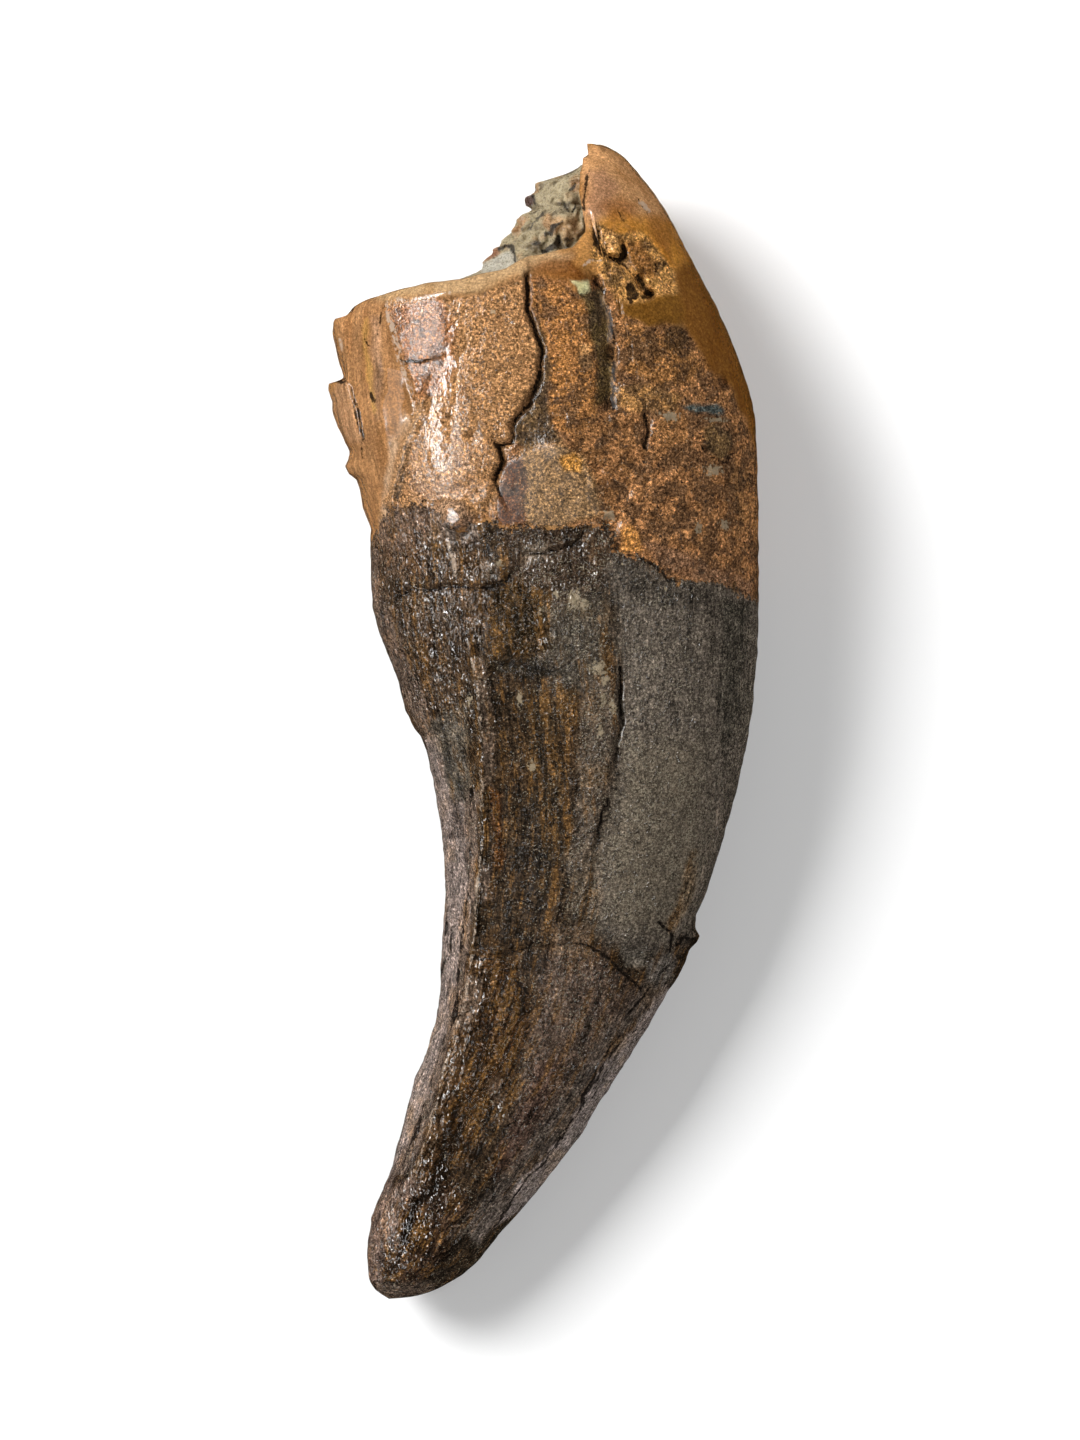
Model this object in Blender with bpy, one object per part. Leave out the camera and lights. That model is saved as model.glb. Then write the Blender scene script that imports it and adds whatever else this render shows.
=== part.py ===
"""A large fossil tyrannosaur tooth with its broken root, lying on its side.

The tooth grew in one piece, so crown and root are one solid. Sediment that set hard in
the open pulp cavity is a second solid. The functions work in millimetres and the meshes
are in metres. +Y runs from the crown's tip to the root, +X to the tooth's convex front
edge, and +Z up from the surface that the tooth lies on.
"""
import math

import bmesh
import bpy
import numpy as np

MM = 0.001

# Driving dimensions, mm
ROOT_TOP_Y = 74.9            # the root's highest surviving splinter
TIP_Y = -75.1                # the worn tip of the crown
FIT_GAP = 0.3                # between the tooth and the rock inside it
SHOULDER = 2.2               # radius of the smoothed edge around the broken root
CAVITY_FLOOR_Y = 31.5        # where the pulp cavity closes
PLUG_FOOT_Y = 33.5           # the rock's lowest and highest level
PLUG_TOP_Y = 72.0
PLUG_SLACK = 0.5             # keeps the rock's flat facets off the cavity's
UPPER_COLUMNS = 42
LOWER_COLUMNS = 14
CROWN_ROWS = 34
ROOT_ROWS = 26
CAVITY_ROWS = 8
PLUG_ROWS = 22

# Cross-sections from the tip to the virtual top of the unbroken root: the concave edge's
# x and y, the convex edge's x and y, the height of both edges, and how far the section
# rises above them and drops below them.
SECTIONS = np.array([
    (-20.2, TIP_Y, -20.2, TIP_Y, 9.4, 0.0, 0.0),
    (-22.0, -73.4, -17.2, -74.7, 9.4, 3.2, 3.4),
    (-22.8, -70.9, -13.8, -73.4, 9.4, 5.3, 5.6),
    (-22.9, -67.7, -9.6, -70.7, 9.4, 6.9, 6.9),
    (-22.1, -63.4, -5.3, -66.0, 9.5, 8.1, 8.4),
    (-19.6, -57.5, -0.4, -59.7, 9.6, 9.2, 9.5),
    (-17.0, -49.1, 5.3, -52.3, 9.9, 10.3, 10.3),
    (-14.0, -40.0, 10.8, -43.9, 10.6, 11.4, 10.9),
    (-13.2, -29.6, 16.0, -35.0, 11.7, 12.5, 11.4),
    (-12.7, -19.2, 20.3, -24.1, 12.9, 13.6, 12.4),
    (-14.2, -8.8, 23.9, -12.9, 14.1, 14.9, 13.7),
    (-18.0, 1.6, 26.6, -1.0, 15.3, 16.3, 15.2),
    (-21.3, 12.0, 27.7, 10.7, 16.3, 17.7, 16.6),
    (-22.4, 22.4, 27.8, 21.6, 17.1, 18.8, 17.9),
    (-24.6, 31.5, 27.7, 31.5, 17.7, 19.6, 18.6),
    (-27.3, 41.9, 26.8, 41.9, 18.1, 19.7, 19.0),
    (-27.2, 52.1, 23.1, 52.1, 18.2, 19.0, 19.0),
    (-25.0, 60.1, 19.0, 60.1, 18.0, 17.2, 18.2),
    (-22.0, 67.9, 14.8, 67.9, 17.4, 14.6, 14.8),
    (-18.7, ROOT_TOP_Y, 9.2, ROOT_TOP_Y, 16.6, 11.6, 11.0),
])
BASE_SECTION = 13.0          # above this section the rows bend to follow the broken rim

# The broken rim, as degrees around the section from the convex edge, and its y.
RIM = np.array([
    (0.0, 74.8), (24.0, ROOT_TOP_Y), (37.0, 73.9), (43.0, 73.2), (53.0, 71.0), (59.5, 68.3),
    (61.0, 66.0), (62.0, 63.2), (70.0, 61.0), (78.0, 60.4), (87.0, 59.8), (96.0, 58.2),
    (102.0, 57.6), (112.0, 56.8), (122.0, 56.8), (132.0, 56.5), (148.0, 55.3),
    (165.0, 54.2), (180.0, 51.8), (200.0, 52.6), (225.0, 53.8), (250.0, 55.0),
    (265.0, 59.5), (275.0, 63.0), (285.0, 66.8), (300.0, 70.2), (320.0, 72.8),
    (340.0, 74.2), (360.0, 74.8),
])

# The pulp cavity, from its floor upward: y, its two edges' x, and its lowest and highest z.
CAVITY = np.array([
    (CAVITY_FLOOR_Y, -3.0, -1.0, 18.0, 20.0),
    (34.0, -7.5, 4.5, 13.5, 24.0),
    (39.0, -12.5, 10.0, 10.5, 27.5),
    (47.0, -18.5, 13.5, 8.6, 30.0),
    (54.0, -17.0, 13.0, 8.2, 30.5),
    (58.0, -10.5, 11.4, 8.6, 30.3),
    (60.5, -6.6, 10.2, 9.0, 30.0),
    (64.0, -3.8, 9.0, 9.4, 29.6),
    (68.0, -1.6, 8.0, 10.0, 28.6),
    (72.0, 1.5, 8.0, 11.0, 27.0),
    (76.0, 4.0, 8.4, 12.5, 25.5),
])

# How far flakes and chips stand out past the two long edges, as y and mm.
CONCAVE_FLAKES = np.array([
    (-16.0, 0.0), (-12.0, -0.2), (-8.8, -0.4), (-6.2, -0.7), (-3.6, -1.1), (-1.9, -0.9),
    (-0.8, -0.3), (1.6, 0.0), (21.8, -0.1), (23.6, -0.4), (25.0, -0.9), (27.8, -0.6),
    (30.0, -0.85), (31.5, -0.8), (32.6, 0.0), (33.9, -0.1), (35.2, -0.9), (36.3, -0.6),
    (38.3, 0.0), (40.4, 0.3), (42.4, 0.3), (44.4, -0.4), (44.8, -1.7), (46.9, -1.0),
    (49.3, -0.3), (51.8, 0.5), (53.0, 0.0),
])
CONVEX_CHIP = np.array([
    (-31.0, 0.0), (-29.2, 0.1), (-28.6, 0.8), (-27.7, 1.3), (-26.5, 0.7), (-24.0, 0.0),
])

# Routes of the relief on the side that faces up, in x and y
WALL_CREASE = [(-20.8, 53.7), (-19.4, 50.5), (-18.3, 46.5), (-16.4, 41.5)]
WALL_FOLD = [(-16.4, 41.5), (-18.0, 38.0), (-19.6, 34.0), (-20.4, 30.0), (-20.8, 25.0),
             (-22.0, 22.5)]
LONG_CRACK = [(-2.2, 58.5), (-2.1, 52.7), (-1.3, 50.6), (-0.3, 47.5), (-0.8, 44.0),
              (-1.7, 41.0), (-3.9, 38.9), (-4.3, 36.2), (-6.0, 35.6), (-5.4, 33.6),
              (-6.2, 31.0)]
GUTTER = [(5.6, 57.5), (7.2, 52.0), (7.4, 46.0), (7.7, 40.2)]
NECK_CRACK = [(-18.6, 16.1), (-16.4, 17.0), (-12.0, 17.4), (-8.6, 17.1), (-5.4, 17.7),
              (-4.4, 18.9)]
BAND_LEDGE = [(-7.6, 7.2), (-4.6, 7.8), (-1.0, 6.8)]
STEP_CRACK = [(9.8, 7.0), (9.8, 0.5), (8.9, -4.9), (7.9, -9.5), (6.8, -14.0), (6.6, -17.0),
              (5.5, -22.0)]
CROWN_BREAK = [(-10.7, -29.6), (-7.1, -30.5), (-0.8, -28.9), (5.2, -28.6)]
NOTCH_EDGE = [(5.2, -28.6), (7.0, -29.5), (8.2, -30.4), (9.6, -31.8), (12.4, -34.4)]
NOTCH_FAR_EDGE = [(12.4, -34.4), (15.5, -32.3), (19.6, -28.6)]
REAR_CARINA = [(-9.7, 1.0), (-9.4, -12.0), (-9.8, -22.0), (-10.9, -30.0), (-11.6, -38.0),
               (-14.0, -45.0), (-16.4, -52.5), (-18.6, -57.5)]
FRONT_CARINA = [(12.0, -39.5), (8.0, -44.0), (3.5, -52.0), (-0.6, -57.5), (-6.5, -65.5)]
WEAR_FACET = [(-5.0, -65.0), (-10.3, -67.0), (-12.9, -69.4), (-15.4, -73.6)]

# Lumps and pits there: x, y, radius across, radius along, height
BUMPS = [
    (-11.8, 26.4, 2.5, 1.9, 1.5), (9.4, 60.6, 1.6, 2.0, -2.6), (12.4, 57.2, 1.7, 1.5, -3.6),
    (14.8, 58.6, 1.0, 2.2, -2.4), (13.6, 54.8, 1.9, 1.1, -3.0), (7.0, 62.4, 0.9, 1.3, -1.8),
    (8.6, 47.2, 0.8, 1.4, -1.6), (11.6, -30.4, 2.6, 1.8, -1.3), (22.9, 43.8, 1.0, 1.0, -1.4),
    (-9.2, 36.7, 1.0, 0.8, -1.2), (-2.0, 35.6, 2.4, 1.8, -0.8), (2.2, 34.8, 1.6, 1.4, 0.6),
    (-8.0, 30.4, 3.4, 1.8, -0.7), (10.5, 24.0, 1.5, 1.8, 0.5), (-19.0, -59.6, 1.6, 2.4, 0.6),
]


def smooth_step(value, start, end):
    """Rise smoothly from 0 at start to 1 at end."""
    t = np.clip((value - start) / (end - start), 0.0, 1.0)
    return t * t * (3.0 - 2.0 * t)


def smooth_curve(knots, t):
    """Read a smooth curve through the knots, which stand at t = 0, 1, 2 and so on."""
    slopes = np.gradient(knots, axis=0)
    first = np.clip(np.floor(t).astype(int), 0, len(knots) - 2)
    f = (t - first)[..., None]
    start = (2.0 * f ** 3 - 3.0 * f ** 2 + 1.0) * knots[first] + (f ** 3 - 2.0 * f ** 2 + f) * slopes[first]
    end = (3.0 * f ** 2 - 2.0 * f ** 3) * knots[first + 1] + (f ** 3 - f ** 2) * slopes[first + 1]
    return start + end


def distance_to_route(x, y, route):
    """Distance to a route of straight runs, positive on its left-hand side."""
    best = np.full(np.shape(x), 1e9)
    side = np.ones(np.shape(x))
    for (ax, ay), (bx, by) in zip(route, route[1:]):
        dx, dy = bx - ax, by - ay
        along = np.clip(((x - ax) * dx + (y - ay) * dy) / (dx * dx + dy * dy), 0.0, 1.0)
        distance = np.hypot(x - ax - along * dx, y - ay - along * dy)
        nearer = distance < best
        side = np.where(nearer, np.sign(dx * (y - ay) - dy * (x - ax)), side)
        best = np.where(nearer, distance, best)
    return best * side


def groove(x, y, route, half_width, depth):
    """A rounded furrow along a route."""
    distance = np.abs(distance_to_route(x, y, route))
    return -depth * (1.0 - smooth_step(distance, 0.0, half_width))


def ledge(x, y, route, height, run_out):
    """A step down to the route's right-hand side that fades out over run_out."""
    distance = distance_to_route(x, y, route)
    low = smooth_step(-distance, -0.5, 0.5) * (1.0 - smooth_step(-distance, 0.5, run_out))
    return -height * low


def relief(x, y):
    """Height that breaks and wear add to the side facing up, in mm."""
    beside_wall = np.maximum(-distance_to_route(x, y, WALL_CREASE), 0.0)
    height = -0.32 * np.minimum(beside_wall, 5.0) * smooth_step(y, 38.0, 43.0)
    height += groove(x, y, WALL_FOLD, 1.7, -0.9)
    height += ledge(x, y, WALL_FOLD, 1.2, 5.0)
    height += ledge(x, y, LONG_CRACK[::-1], 1.2, 7.0) + groove(x, y, LONG_CRACK, 1.2, 1.0)
    height += groove(x, y, GUTTER, 1.9, 2.6)
    height += ledge(x, y, NECK_CRACK, 0.7, 6.0) + groove(x, y, NECK_CRACK, 1.2, 0.6)
    height += ledge(x, y, BAND_LEDGE, 0.6, 4.0)
    height += ledge(x, y, STEP_CRACK[::-1], 0.8, 5.0) + groove(x, y, STEP_CRACK, 1.2, 0.8)
    height += ledge(x, y, CROWN_BREAK, 0.6, 8.0) + groove(x, y, CROWN_BREAK, 1.2, 0.3)
    height += ledge(x, y, NOTCH_EDGE[::-1], 1.2, 5.0) + ledge(x, y, NOTCH_FAR_EDGE, 0.9, 7.0)
    height += groove(x, y, REAR_CARINA, 1.3, -0.8) + groove(x, y, FRONT_CARINA, 1.2, -0.5)
    height += ledge(x, y, WEAR_FACET[::-1], 0.9, 6.0)
    for cx, cy, across, along, rise in BUMPS:
        away = np.hypot((x - cx) / across, (y - cy) / along)
        height += rise * (1.0 - smooth_step(away, 0.3, 1.3))
    return height


def underside_relief(x, y):
    """Long flutes and weathering cracks on the side that lies down, in mm."""
    flutes = 0.25 * np.sin(1.1 * (x + 0.09 * y)) * smooth_step(y, -60.0, -20.0)
    return flutes + 0.6 * smooth_step(y, 20.0, 22.0) * (1.0 - smooth_step(y, 22.0, 30.0))


def outer_surface(angle, section, inset=0.0):
    """Points on the tooth's outside, at an angle round a section, moved in by inset."""
    knots = smooth_curve(SECTIONS, section)
    rear, front = knots[..., 0:2], knots[..., 2:4]
    edge, rise, drop = knots[..., 4], knots[..., 5], knots[..., 6]
    half = np.hypot(*np.moveaxis(front - rear, -1, 0)) / 2.0
    shrink = 1.0 - inset / np.maximum(half, 4.0 * inset + 0.001)
    across = np.cos(angle)
    spot = (front + rear) / 2.0 + (front - rear) / 2.0 * (across * shrink)[..., None]
    x, y = spot[..., 0], spot[..., 1]
    upper = np.maximum(np.sin(angle), 0.0)
    lower = np.maximum(-np.sin(angle), 0.0) ** 0.75
    outward = 1.0 - smooth_step(np.abs(across), 0.86, 1.0)
    height = edge + (rise * upper - drop * lower) * shrink
    beneath = smooth_step(lower, 0.2, 0.5) * (1.0 - smooth_step(lower, 0.8, 0.9))
    height = height + np.where(upper > 0.0, relief(x, y) * outward, underside_relief(x, y) * beneath)
    flakes = np.interp(y, CONCAVE_FLAKES[:, 0], CONCAVE_FLAKES[:, 1])
    chip = np.interp(y, CONVEX_CHIP[:, 0], CONVEX_CHIP[:, 1])
    x = x - flakes * smooth_step(-across, 0.9, 1.0) + chip * smooth_step(across, 0.9, 1.0)
    return np.stack([x, y, np.maximum(height, 0.0)], axis=-1)


def cavity_surface(angle, y, gap=0.0):
    """Points on the pulp cavity's wall, at an angle and a level, moved in by gap."""
    level = np.interp(y, CAVITY[:, 0], np.arange(len(CAVITY)))
    knots = smooth_curve(CAVITY, level)
    rear, front, low, high = (knots[..., k] for k in range(1, 5))
    x = (front + rear) / 2.0 + np.maximum((front - rear) / 2.0 - gap, 0.05) * np.cos(angle)
    z = (high + low) / 2.0 + np.maximum((high - low) / 2.0 - gap, 0.05) * np.sin(angle)
    return np.stack([x, np.broadcast_to(y, x.shape), z], axis=-1)


def column_angles():
    """Angles round the section, closer together on the side that faces up."""
    t = np.arange(UPPER_COLUMNS) / UPPER_COLUMNS
    upper = math.pi * (t + 0.06 * np.sin(2.0 * math.pi * t))
    lower = math.pi * (1.0 + np.arange(LOWER_COLUMNS) / LOWER_COLUMNS)
    return np.concatenate([upper, lower])


def tooth_rows():
    """Rings of points from the tip, over the broken rim and down into the pulp cavity."""
    angle = column_angles()
    rim_y = np.interp(np.degrees(angle), RIM[:, 0], RIM[:, 1])
    upright = SECTIONS[SECTIONS[:, 1] > 30.0]
    first_upright = len(SECTIONS) - len(upright)
    steps = np.arange(len(upright)) + first_upright
    rim_section = np.interp(rim_y - SHOULDER, upright[:, 1], steps)
    rows = []
    for k in range(1, CROWN_ROWS + 1):
        t = k / CROWN_ROWS
        section = BASE_SECTION * (0.75 * t + 0.25 * t * t)
        rows.append(outer_surface(angle, np.full(angle.shape, section)))
    for k in range(1, ROOT_ROWS + 1):
        section = BASE_SECTION + (rim_section - BASE_SECTION) * k / ROOT_ROWS
        rows.append(outer_surface(angle, section))
    for turn in (0.5, 1.0):
        bend = turn * math.pi / 2.0
        raised = np.interp(rim_y - SHOULDER * (1.0 - math.sin(bend)), upright[:, 1], steps)
        rows.append(outer_surface(angle, raised, SHOULDER * (1.0 - math.cos(bend))))
    for k in range(CAVITY_ROWS):
        level = rim_y - 0.8 + (CAVITY_FLOOR_Y - rim_y + 0.8) * (k / CAVITY_ROWS) ** 0.8
        rows.append(cavity_surface(angle, level))
    return rows


def plug_rows():
    """Rings of points up the rock that fills the cavity and stands out of its mouth."""
    angle = column_angles()[::2]
    rows = []
    for k in range(1, PLUG_ROWS):
        level = PLUG_FOOT_Y + (PLUG_TOP_Y - PLUG_FOOT_Y) * k / PLUG_ROWS
        ring = cavity_surface(angle, np.full(angle.shape, level), FIT_GAP + PLUG_SLACK)
        narrowing = 1.0 - 0.75 * smooth_step(level, 67.0, PLUG_TOP_Y) ** 1.5
        lumps = 0.5 + 0.5 * np.sin(3.0 * angle + 0.9 * level) * np.sin(5.0 * angle - 0.7 * level)
        outcrop = smooth_step(level, 58.0, 62.0)
        scale = narrowing * (1.0 - 0.16 * lumps * outcrop)
        centre = ring.mean(axis=0)
        rows.append(centre + (ring - centre) * scale[:, None])
    return rows


def closed_mesh(name, rows, first, last):
    """Join rings of points into one closed body, with a fan of faces at either end."""
    ring = len(rows[0])
    points = np.concatenate([[first], *rows, [last]]) * MM
    quads = []
    for r in range(len(rows) - 1):
        for c in range(ring):
            here, beside = 1 + r * ring + c, 1 + r * ring + (c + 1) % ring
            quads.append((here, beside, beside + ring, here + ring))
    top = 1 + (len(rows) - 1) * ring
    fans = [(0, 1 + (c + 1) % ring, 1 + c) for c in range(ring)]
    fans += [(len(points) - 1, top + c, top + (c + 1) % ring) for c in range(ring)]
    mesh = bpy.data.meshes.new(name)
    mesh.from_pydata(points.tolist(), [], quads + fans)
    body = bmesh.new()
    body.from_mesh(mesh)
    bmesh.ops.recalc_face_normals(body, faces=body.faces)
    bmesh.ops.triangulate(body, faces=body.faces)
    body.to_mesh(mesh)
    body.free()
    mesh.shade_smooth()
    return mesh


def stone(name, colour, roughness):
    """A plain material with the stone's main colour."""
    material = bpy.data.materials.new(name)
    material.use_nodes = True
    surface = material.node_tree.nodes["Principled BSDF"]
    surface.inputs["Base Color"].default_value = (*colour, 1.0)
    surface.inputs["Roughness"].default_value = roughness
    surface.inputs["Metallic"].default_value = 0.0
    return material


def place(name, mesh, material):
    """Put a mesh in the scene as one named object."""
    mesh.materials.append(material)
    thing = bpy.data.objects.new(name, mesh)
    bpy.context.scene.collection.objects.link(thing)
    return thing


def make_tooth():
    """Crown and root, hollow where the pulp was."""
    rows = tooth_rows()
    tip = SECTIONS[0, [0, 1, 4]]
    floor = np.append(rows[-1].mean(axis=0)[[0]], [CAVITY_FLOOR_Y, 19.0])
    mesh = closed_mesh("tooth", rows, tip, floor)
    return place("tooth", mesh, stone("fossil_tooth", (0.11, 0.065, 0.035), 0.35))


def make_plug():
    """The sediment in the pulp cavity."""
    rows = plug_rows()
    foot = rows[0].mean(axis=0) - (0.0, 0.6, 0.0)
    crest = rows[-1].mean(axis=0) + (0.0, 0.8, 0.0)
    mesh = closed_mesh("matrix_plug", rows, foot, crest)
    return place("matrix_plug", mesh, stone("sediment", (0.34, 0.26, 0.17), 0.75))


def main():
    for thing in list(bpy.data.objects):
        bpy.data.objects.remove(thing, do_unlink=True)
    make_tooth()
    make_plug()


main()
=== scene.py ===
# %% [markdown]
# # A fossil tyrannosaur tooth, lying on its side
# The tooth is one grown body: a worn, varnished crown and the stump of its root. Hard
# sediment fills the open end of the root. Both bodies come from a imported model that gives
# their place and size. This lesson replaces their flat facets with fine surfaces, worked
# out with numpy, and paints them with what weather, glue and varnish left behind.

# %% Load the frame
import math

import bpy
import numpy as np
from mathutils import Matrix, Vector


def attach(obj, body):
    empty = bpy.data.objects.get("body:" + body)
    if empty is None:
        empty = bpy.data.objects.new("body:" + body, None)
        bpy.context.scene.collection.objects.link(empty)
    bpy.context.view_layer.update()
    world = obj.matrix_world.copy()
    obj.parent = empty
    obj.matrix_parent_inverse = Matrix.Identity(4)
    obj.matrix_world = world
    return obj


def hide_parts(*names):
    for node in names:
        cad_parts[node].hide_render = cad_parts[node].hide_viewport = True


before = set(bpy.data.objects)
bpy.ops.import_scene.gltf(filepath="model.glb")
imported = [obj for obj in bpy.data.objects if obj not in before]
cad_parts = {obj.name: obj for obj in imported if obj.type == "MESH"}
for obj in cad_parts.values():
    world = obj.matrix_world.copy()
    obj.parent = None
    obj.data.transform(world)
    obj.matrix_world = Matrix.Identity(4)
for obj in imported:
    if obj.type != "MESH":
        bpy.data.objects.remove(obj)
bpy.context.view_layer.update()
MM = 0.001
print("nodes to dress:", sorted(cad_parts))

# %% [markdown]
# ## Places on the tooth
# The camera looks straight down, so a place on the upper side is known by its x and y
# alone. Forms are given in millimetres. Painted zones are easier to read off the picture,
# so their outlines are in picture columns and rows, and one function turns both kinds
# into the same millimetres.

# %% Read a place off the picture
PICTURE_STEP = 0.13          # mm on the tooth for one pixel of the 1080 by 1440 picture
PICTURE_ZERO = (544.0, 722.5)


def spots(*pixels):
    """Turn (column, row) pairs into x and y in mm: x grows with the column, y falls with the row."""
    pixels = np.asarray(pixels, dtype=float)
    return (pixels - PICTURE_ZERO) * (PICTURE_STEP, -PICTURE_STEP)


# %% Soft steps, smooth curves and distances
def smooth_step(value, start, end):
    """Rise smoothly from 0 at start to 1 at end: 3t squared minus 2t cubed."""
    t = np.clip((value - start) / (end - start), 0.0, 1.0)
    return t * t * (3.0 - 2.0 * t)


def smooth_curve(knots, t):
    """Read a cubic curve through the knots, which stand at t = 0, 1, 2 and so on."""
    slopes = np.gradient(knots, axis=0)
    first = np.clip(np.floor(t).astype(int), 0, len(knots) - 2)
    f = (t - first)[..., None]
    start = (2.0 * f ** 3 - 3.0 * f ** 2 + 1.0) * knots[first] + (f ** 3 - 2.0 * f ** 2 + f) * slopes[first]
    end = (3.0 * f ** 2 - 2.0 * f ** 3) * knots[first + 1] + (f ** 3 - f ** 2) * slopes[first + 1]
    return start + end


def distance_to_route(x, y, route):
    """Distance to the nearest of a route's straight runs, positive on its left-hand side."""
    best = np.full(np.shape(x), np.inf)
    side = np.ones(np.shape(x))
    for (ax, ay), (bx, by) in zip(route, route[1:]):
        dx, dy = bx - ax, by - ay
        along = np.clip(((x - ax) * dx + (y - ay) * dy) / (dx * dx + dy * dy), 0.0, 1.0)
        distance = np.hypot(x - ax - along * dx, y - ay - along * dy)
        nearer = distance < best
        side = np.where(nearer, np.sign(dx * (y - ay) - dy * (x - ax)), side)
        best = np.where(nearer, distance, best)
    return best * side


def inside_outline(x, y, outline, softness):
    """1 inside a closed outline and 0 outside, blended over softness on either side of it."""
    closed = [*outline, outline[0]]
    crossings = np.zeros(np.shape(x), dtype=bool)
    for (ax, ay), (bx, by) in zip(closed, closed[1:]):
        if ay != by:
            crossings ^= ((ay > y) != (by > y)) & (x < (bx - ax) * (y - ay) / (by - ay) + ax)
    distance = np.abs(distance_to_route(x, y, closed))
    return smooth_step(np.where(crossings, distance, -distance), -softness, softness)


# %% [markdown]
# ## Chance that repeats
# Stone is irregular, but the script has to give the same tooth each time. A hash turns
# whole-number grid places into fixed values, and blending between them makes smooth
# noise of any grain size. Layers of finer and weaker noise make it look broken. The last
# whole number given to a noise is its seed, and each use has its own.

# %% Noise worked out as whole arrays
def grid_value(ix, iy, iz, seed):
    """Mix three whole numbers and a seed into one repeatable value from -1 to 1, with large primes."""
    mixed = (ix * 374761393 + iy * 668265263 + iz * 1442695041 + seed * 1274126177) & 0xFFFFFFFF
    mixed = ((mixed ^ (mixed >> 13)) * 1274126177) & 0xFFFFFFFF
    mixed = ((mixed ^ (mixed >> 15)) * 2246822519) & 0xFFFFFFFF
    return ((mixed ^ (mixed >> 16)) & 0xFFFFFF) / 8388607.5 - 1.0


def noise(points, size, seed):
    """Smooth noise from -1 to 1: grid values size mm apart, blended along x, y and z."""
    place = points / size
    cell = np.floor(place).astype(np.int64)
    f = place - cell
    f = f * f * (3.0 - 2.0 * f)
    total = 0.0
    for ox in (0, 1):
        for oy in (0, 1):
            for oz in (0, 1):
                weight = (f[..., 0] if ox else 1.0 - f[..., 0]) * (f[..., 1] if oy else 1.0 - f[..., 1])
                weight = weight * (f[..., 2] if oz else 1.0 - f[..., 2])
                corner = grid_value(cell[..., 0] + ox, cell[..., 1] + oy, cell[..., 2] + oz, seed)
                total = total + weight * corner
    return total


def layered_noise(points, size, seed, layers=4):
    """Sum of noises, each half the size and half the strength of the one before."""
    total = 0.0
    for k in range(layers):
        total = total + noise(points, size / 2.0 ** k, seed + 17 * k) / 2.0 ** k
    return total


def wobble(points):
    """A shift in mm that keeps drawn routes from running too straight."""
    return 0.3 * noise(points, 2.1, 3) + 0.2 * noise(points, 0.9, 4)


sample = layered_noise(np.random.default_rng(5).uniform(-50.0, 50.0, (2000, 3)), 3.0, 1)
print("layered noise runs from %.2f to %.2f" % (sample.min(), sample.max()))

# %% [markdown]
# ## The tooth's body
# A tooth tapers and bends, but each slice across it is a simple closed curve. So the body
# is a grid: one direction goes round a slice, the other goes from the tip to the broken
# rim, over the rim and down into the pulp cavity. Each slice joins a point of the concave
# edge to a point of the convex edge, so the outline seen from above is exact.

# %% Slices through the tooth
TIP_Y = -75.1                # mm, as are all lengths of the body
ROOT_TOP_Y = 74.9
CAVITY_FLOOR_Y = 31.5
RIM_ROUNDING = 2.2
BASE_SECTION = 13.0          # the slice at the crown's base, counted from the tip

# Concave edge x and y, convex edge x and y, height of both edges, rise and drop, in mm
SECTIONS = np.array([
    (-20.2, TIP_Y, -20.2, TIP_Y, 9.4, 0.0, 0.0),
    (-22.4, -73.5, -16.6, -74.7, 9.4, 3.2, 3.4),
    (-22.9, -71.0, -13.3, -73.5, 9.4, 5.3, 5.6),
    (-22.9, -67.7, -9.3, -70.8, 9.4, 6.9, 6.9),
    (-22.1, -63.4, -5.3, -66.0, 9.5, 8.1, 8.4),
    (-19.6, -57.5, -0.4, -59.7, 9.6, 9.2, 9.5),
    (-17.0, -49.1, 5.3, -52.3, 9.9, 10.3, 10.3),
    (-14.0, -40.0, 10.8, -43.9, 10.6, 11.4, 10.9),
    (-13.2, -29.6, 16.0, -35.0, 11.7, 12.5, 11.4),
    (-12.7, -19.2, 20.3, -24.1, 12.9, 13.6, 12.4),
    (-14.2, -8.8, 23.9, -12.9, 14.1, 14.9, 13.7),
    (-18.0, 1.6, 26.6, -1.0, 15.3, 16.3, 15.2),
    (-21.3, 12.0, 27.7, 10.7, 16.3, 17.7, 16.6),
    (-22.4, 22.4, 27.8, 21.6, 17.1, 18.8, 17.9),
    (-24.6, 31.5, 27.7, 31.5, 17.7, 19.6, 18.6),
    (-27.3, 41.9, 26.8, 41.9, 18.1, 19.7, 19.0),
    (-27.2, 52.1, 23.1, 52.1, 18.2, 19.0, 19.0),
    (-25.0, 60.1, 19.0, 60.1, 18.0, 17.2, 18.2),
    (-22.0, 67.9, 14.8, 67.9, 17.4, 14.6, 14.8),
    (-18.7, ROOT_TOP_Y, 9.2, ROOT_TOP_Y, 16.6, 11.6, 11.0),
])

# The broken rim: degrees round the slice from the convex edge, and y
RIM = np.array([
    (0.0, 74.8), (24.0, ROOT_TOP_Y), (29.0, 74.7), (33.0, 74.1), (37.0, 73.3), (44.0, 72.8),
    (53.0, 71.0), (59.5, 68.3), (61.0, 66.0), (62.0, 63.2), (70.0, 61.0), (78.0, 60.4),
    (87.0, 59.8), (96.0, 58.2), (102.0, 57.6), (112.0, 56.8), (122.0, 56.5), (132.0, 56.0),
    (148.0, 54.8), (165.0, 53.9), (180.0, 52.0), (200.0, 52.6), (225.0, 53.8), (250.0, 55.0),
    (265.0, 59.5), (275.0, 63.0), (285.0, 66.8), (300.0, 70.2), (320.0, 72.8), (340.0, 74.2),
    (360.0, 74.8),
])

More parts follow.
